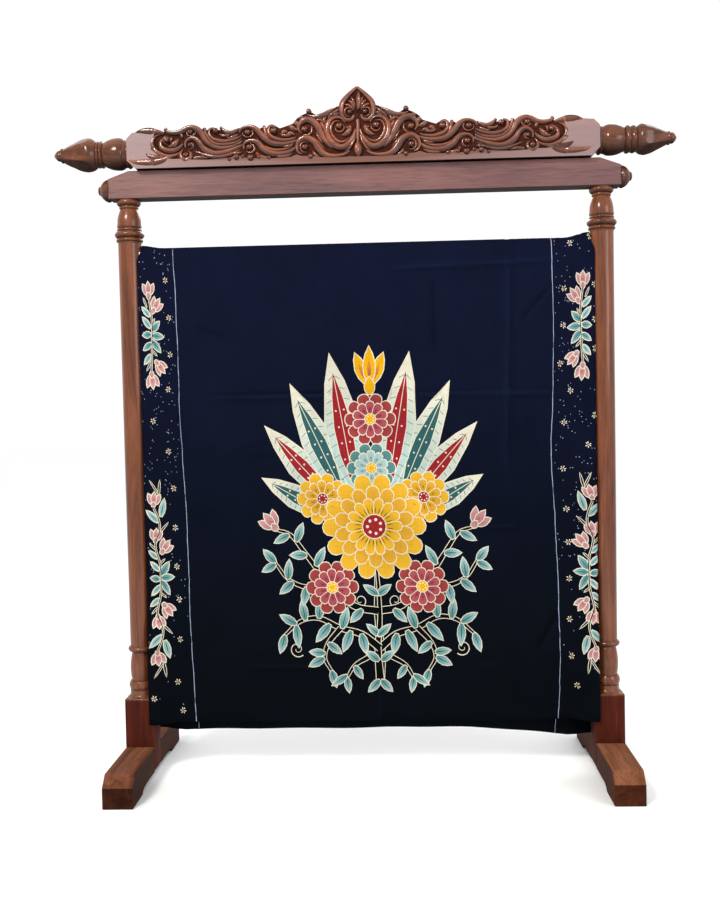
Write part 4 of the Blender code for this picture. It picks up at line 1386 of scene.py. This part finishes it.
def draw_tendril(drawing, place, start, turn, size, dyes):
    """A waxed line that curls up at its end."""
    points = []
    for step in range(22):
        angle = turn + step * 0.42 * (1 if turn > 0 else -1)
        reach = size * (1 - step / 26)
        points.append((start[0] + reach * math.cos(angle), start[1] + reach * math.sin(angle)))
    drawing.line(place, points, 2.6, dyes["cream"], 1.2)


def draw_bouquet(drawing, dyes):
    middle_x, middle_down = BOUQUET_PLACE

    def place(side):
        return lambda x, up: ((middle_x - side * x) * MM, -(middle_down - up) * MM)

    halves = (place(1), place(-1))
    for spot in halves:
        for start, turn, size in (((-206, -330), -0.8, 20), ((-44, -214), 2.8, 20)):
            draw_tendril(drawing, spot, start, turn, size, dyes)
        for base_x, base_y, tip_x, tip_y, width, red in BOUQUET_SPEARS:
            draw_spear(drawing, spot, (base_x, base_y), (tip_x, tip_y), width, red, dyes)
        for half_width, stem in BOUQUET_STEMS:
            line = smooth_line(stem, 4)
            drawing.line(spot, line, half_width * 2, dyes["cream"], 8.0)
            drawing.line(spot, line, half_width * 2 - 3.6, dyes["black"], 4.6)
    for spot in halves:
        for base_x, base_y, tip_x, tip_y, width in BOUQUET_SPRAYS:
            base, tip = Vector((base_x, base_y)), Vector((tip_x, tip_y))
            drawing.leaf(spot, base, tip, width * 0.8, dyes["teal"], dyes["pale_teal"], dyes["cream"], 1.8)
            drawing.leaf(
                spot, base + (tip - base) * 0.1, base + (tip - base) * 0.82, 2.4, dyes["black"], dyes["teal"],
                dyes["teal"], 0.0,
            )
    for spot in halves:
        for row in BOUQUET_BUDS:
            draw_bud(drawing, spot, row[:2], row[2:4], row[4], dyes)
        for across, up, radius, rings in BOUQUET_ROSETTES:
            draw_rosette(drawing, spot, (across, up), radius, rings, dyes)
    for across, up, radius, rings in BOUQUET_MIDDLE:
        draw_rosette(drawing, halves[0], (across, up), radius, rings, dyes)
    golden = {**dyes, "dusty_pink": dyes["gold"], "pink": dyes["amber"]}
    draw_bud(drawing, halves[0], (0, 288), (0, 402), 70, golden)


FRONT_STEPS = 70  # across the front and down it
BACK_COLUMNS = 42
BACK_ROWS = 36
BEND_STEP = 0.0041
STRIP_START = 0.0225  # the turned-back strip's fine columns: from here inwards of the edge
STRIP_STEP = 0.0016
STRIP_CLEAR = 0.004
CREASE_STEP = 0.014
DRAWN_CELL = 0.009  # no place of the grid is kept this close to a drawn one


def grid_places():
    """Flat places that carry the cloth's shape: fine in front, at the bend and at the turned-back strip."""
    fronts = hem_run(0.0, False)
    backs = hem_run(0.0, True)
    columns = [-CLOTH_HALF_WIDTH + CLOTH_HALF_WIDTH * 2 * step / FRONT_STEPS for step in range(FRONT_STEPS + 1)]
    strip = [CLOTH_HALF_WIDTH - STRIP_START + STRIP_STEP * step for step in range(9)]
    low, high = strip[0] - STRIP_CLEAR, strip[-1] + STRIP_CLEAR
    front_columns = sorted(c for c in columns if not low < c < high) + strip
    bend = [BEND_STEP * step for step in range(12)]
    rest = [bend[-1] + (fronts - bend[-1]) * (step + 1) / FRONT_STEPS for step in range(FRONT_STEPS)]
    places = [(c, -run) for run in bend + rest for c in front_columns]
    across = CLOTH_HALF_WIDTH * 2
    back_columns = [-CLOTH_HALF_WIDTH + across * step / BACK_COLUMNS for step in range(BACK_COLUMNS + 1)]
    rest = [bend[-1] + (backs - bend[-1]) * (step + 1) / BACK_ROWS for step in range(BACK_ROWS)]
    places += [(c, run) for run in bend[1:] + rest for c in back_columns]
    for start_x, start_y, end_x, end_y, half_width, _ in CREASES:
        start, along = Vector((start_x, start_y)) * MM, Vector((end_x - start_x, end_y - start_y)) * MM
        across = along.normalized().orthogonal() * half_width * MM
        count = max(int(along.length / CREASE_STEP), 2)
        for step in range(count + 1):
            for share in (-1.2, 0.0, 1.2):
                spot = start + along * step / count + across * share
                if abs(spot.x) < CLOTH_HALF_WIDTH - 0.001 and spot.y < fronts - 0.001:
                    places.append((spot.x, -spot.y))
    return places


def dye_at(dyes_of, place, point):
    dye, far_dye, start, end = dyes_of
    if far_dye is None:
        return dye
    along = Vector(end) - Vector(start)
    share = (Vector(point) - Vector(start)).dot(along) / along.length_squared
    return mixed(dye, far_dye, min(max(share, 0.0), 1.0))


class BATIK_OT_hang_cloth(bpy.types.Operator):
    """Draw the batik on the flat cloth, then hang it over the rod in its folds"""

    bl_idname = "batik.hang_cloth"
    bl_label = "Hang the cloth"

    def execute(self, context):
        settings = context.scene.batik_cloth
        names = ("cream", "gold", "red", "rose", "pink", "teal", "pale_teal", "black")
        dyes = {name: tuple(getattr(settings, name)) for name in names}
        dyes["line"] = tuple(settings.line_blue)
        dyes["dusty_pink"] = mixed(dyes["pink"], dyes["black"], 0.35)
        dyes["mid_teal"] = mixed(dyes["teal"], dyes["pale_teal"], 0.6)
        dyes["deep_teal"] = mixed(dyes["teal"], dyes["black"], 0.5)
        dyes["amber"] = mixed(dyes["gold"], dyes["red"], 0.16)
        drawing = Drawing()
        for side in (-1, 1):
            for back in (False, True):
                draw_border(drawing, side, back, dyes, settings)
        draw_bouquet(drawing, dyes)

        # the grid gives the folds their shape; close to drawn points it isn't needed
        drawn = {(round(x / DRAWN_CELL), round(y / DRAWN_CELL)) for x, y in drawing.points}
        free = [p for p in grid_places() if (round(p[0] / DRAWN_CELL), round(p[1] / DRAWN_CELL)) not in drawn]
        places = [Vector(place) for place in drawing.points + free]
        flat, _, faces, _, _, covers = delaunay_2d_cdt(places, [], drawing.faces, 0, 1e-6)

        ground, border = tuple(settings.ground), tuple(settings.border_ground)
        painted_shade_ground = tuple(settings.painted_shade_ground)
        data = bmesh.new()
        backs = hem_run(0.0, True)
        verts, crease_shade = [], []
        for across, run in flat:
            back = run > 0
            length = run / backs * hem_run(across, True) if back else -run
            verts.append(data.verts.new(smooth_cloth_point(across, length, back)))
            # painted light and shade along the front's creases, darker where a crease stands out and paler
            # where it sinks
            crease_shade.append(1.0 if back else 1.0 - CREASE_PAINTED_SHADE * crease_height(across, length))
        flat_layer = data.loops.layers.uv.new("flat_cloth")
        dye_layer = data.loops.layers.float_color.new("dye")
        for corners, cover in zip(faces, covers):
            try:
                face = data.faces.new([verts[index] for index in corners])
            except ValueError:
                continue
            face.smooth = True
            middle = sum((flat[index] for index in corners), Vector((0.0, 0.0))) / len(corners)
            top = max(cover) if cover else None
            for loop, index in zip(face.loops, corners):
                loop[flat_layer].uv = flat[index]
                if top is None:
                    # painted shade: the ground of the middle and of the borders is painted darker towards the
                    # hem, on front and back
                    deep = smooth(0.05, 1.15, abs(flat[index].y))
                    dye = mixed(border if abs(middle.x) > LINE_ACROSS else ground, painted_shade_ground, deep)
                    dye = tuple(value * crease_shade[index] for value in dye)
                else:
                    dye = dye_at(drawing.dyes[top], middle, flat[index])
                loop[dye_layer] = (*dye, 1.0)
        cloth = object_from("batik_cloth_drawn", data)
        only(cloth)
        thick = cloth.modifiers.new("cloth thickness", "SOLIDIFY")
        thick.thickness = settings.thickness
        thick.offset = 0.0
        bpy.ops.object.modifier_apply(modifier=thick.name)
        finish(cloth, dyed_cotton(), "dyed_cotton", "batik_cloth")
        back_length = (hem_run(-CLOTH_HALF_WIDTH, True) + hem_run(CLOTH_HALF_WIDTH, True)) / 2
        length = hem_run(0.0, False) + back_length
        return {"FINISHED"}


# Camera: where the photograph was taken from, in metres, and how it is turned, in radians
CAMERA_PLACE = (0.0769, -2.5504, 0.8760)
CAMERA_YAW = 0.0378
CAMERA_PITCH = 0.0346
CAMERA_ROLL = 0.0204


def area_light(name, place, target, size, power, colour):
    light = bpy.data.lights.new(name, "AREA")
    light.shape = "RECTANGLE"
    light.size, light.size_y = size
    light.energy = power
    light.color = colour
    obj = bpy.data.objects.new(name, light)
    bpy.context.scene.collection.objects.link(obj)
    obj.location = place
    obj.rotation_euler = (Vector(target) - Vector(place)).to_track_quat("-Z", "Y").to_euler()
    return obj


class BATIK_OT_stage(bpy.types.Operator):
    """Set the floor, the soft studio light and the camera"""

    bl_idname = "batik.stage"
    bl_label = "Set the stage"

    def execute(self, context):
        settings = context.scene.batik_stage
        deselect()
        bpy.ops.mesh.primitive_plane_add(size=60.0, location=(0.0, 0.0, 0.0))
        floor = bpy.context.object
        floor.name = "floor"
        look, tree, shader = new_material("matt_floor_paint")  # flat and soft, with hardly any grain
        grain = add_node(tree, "ShaderNodeTexNoise", {"Scale": 3.0, "Detail": 2.0}).outputs["Fac"]
        colour = tuple(settings.floor_colour)
        stops = ((0.3, mixed(colour, (0, 0, 0), 0.02)), (0.7, colour))
        tone = add_node(tree, "ShaderNodeValToRGB", {"Fac": grain}, stops=stops).outputs["Color"]
        tree.links.new(tone, shader.inputs["Base Color"])
        shader.inputs["Roughness"].default_value = 0.85
        floor.data.materials.append(look)

        context.scene.view_settings.view_transform = "Standard"
        world = bpy.data.worlds.new("studio")
        context.scene.world = world
        world.use_nodes = True
        sky = world.node_tree.nodes["Background"]
        sky.inputs["Color"].default_value = (*linear("#ffffff"), 1.0)
        sky.inputs["Strength"].default_value = 1.05

        power = settings.light_power
        target = (0.0, 0.0, 0.9)
        area_light("key light", (-1.6, -3.0, 3.2), target, (0.8, 0.8), power, linear("#fffaf2"))
        area_light("fill light", (2.8, -2.6, 1.8), target, (1.6, 1.6), power * 0.3, linear("#f2f6ff"))
        area_light("back light", (0.6, 3.0, 3.0), target, (2.4, 1.4), power * 0.3, linear("#ffffff"))

        camera = bpy.data.cameras.new("camera")
        camera.sensor_fit = "VERTICAL"
        camera.sensor_height = 36.0
        camera.lens = settings.focal_length
        obj = bpy.data.objects.new("camera", camera)
        context.scene.collection.objects.link(obj)
        sine, cosine = math.sin(CAMERA_YAW), math.cos(CAMERA_YAW)
        right, ahead, up = Vector((cosine, sine, 0.0)), Vector((-sine, cosine, 0.0)), Vector((0.0, 0.0, 1.0))
        sine, cosine = math.sin(CAMERA_PITCH), math.cos(CAMERA_PITCH)
        ahead, up = ahead * cosine - up * sine, ahead * sine + up * cosine
        sine, cosine = math.sin(CAMERA_ROLL), math.cos(CAMERA_ROLL)
        right, up = right * cosine - up * sine, right * sine + up * cosine
        turn = Matrix((right, up, -ahead)).transposed().to_4x4()
        obj.matrix_world = Matrix.Translation(CAMERA_PLACE) @ turn
        context.scene.camera = obj
        return {"FINISHED"}


class BATIK_PT_panel(bpy.types.Panel):
    """Lists the pieces of the batik cloth and its stand"""

    bl_label = "Batik cloth on a stand"
    bl_space_type = "VIEW_3D"
    bl_region_type = "UI"
    bl_category = "Batik"

    def draw(self, context):
        layout = self.layout
        for group in (context.scene.batik_stand, context.scene.batik_cloth, context.scene.batik_stage):
            box = layout.box()
            for name in group.__annotations__:
                box.prop(group, name)
        for operator in OPERATORS:
            layout.operator(operator.bl_idname)


OPERATORS = (
    BATIK_OT_stage,
    BATIK_OT_turn_posts,
    BATIK_OT_turn_finials,
    BATIK_OT_finish_joinery,
    BATIK_OT_carve_crest,
    BATIK_OT_hang_cloth,
)
GROUPS = {"batik_stand": StandSettings, "batik_cloth": ClothSettings, "batik_stage": StageSettings}
CLASSES = (*GROUPS.values(), *OPERATORS, BATIK_PT_panel)


def register():
    for cls in CLASSES:
        bpy.utils.register_class(cls)
    for name, group in GROUPS.items():
        setattr(bpy.types.Scene, name, PointerProperty(type=group))


def unregister():
    for name in GROUPS:
        delattr(bpy.types.Scene, name)
    for cls in reversed(CLASSES):
        bpy.utils.unregister_class(cls)


def main():
    register()
    bpy.ops.batik.stage()
    bpy.ops.batik.turn_posts()
    bpy.ops.batik.turn_finials()
    bpy.ops.batik.finish_joinery()
    bpy.ops.batik.carve_crest()
    bpy.ops.batik.hang_cloth()


if __name__ == "__main__":
    main()
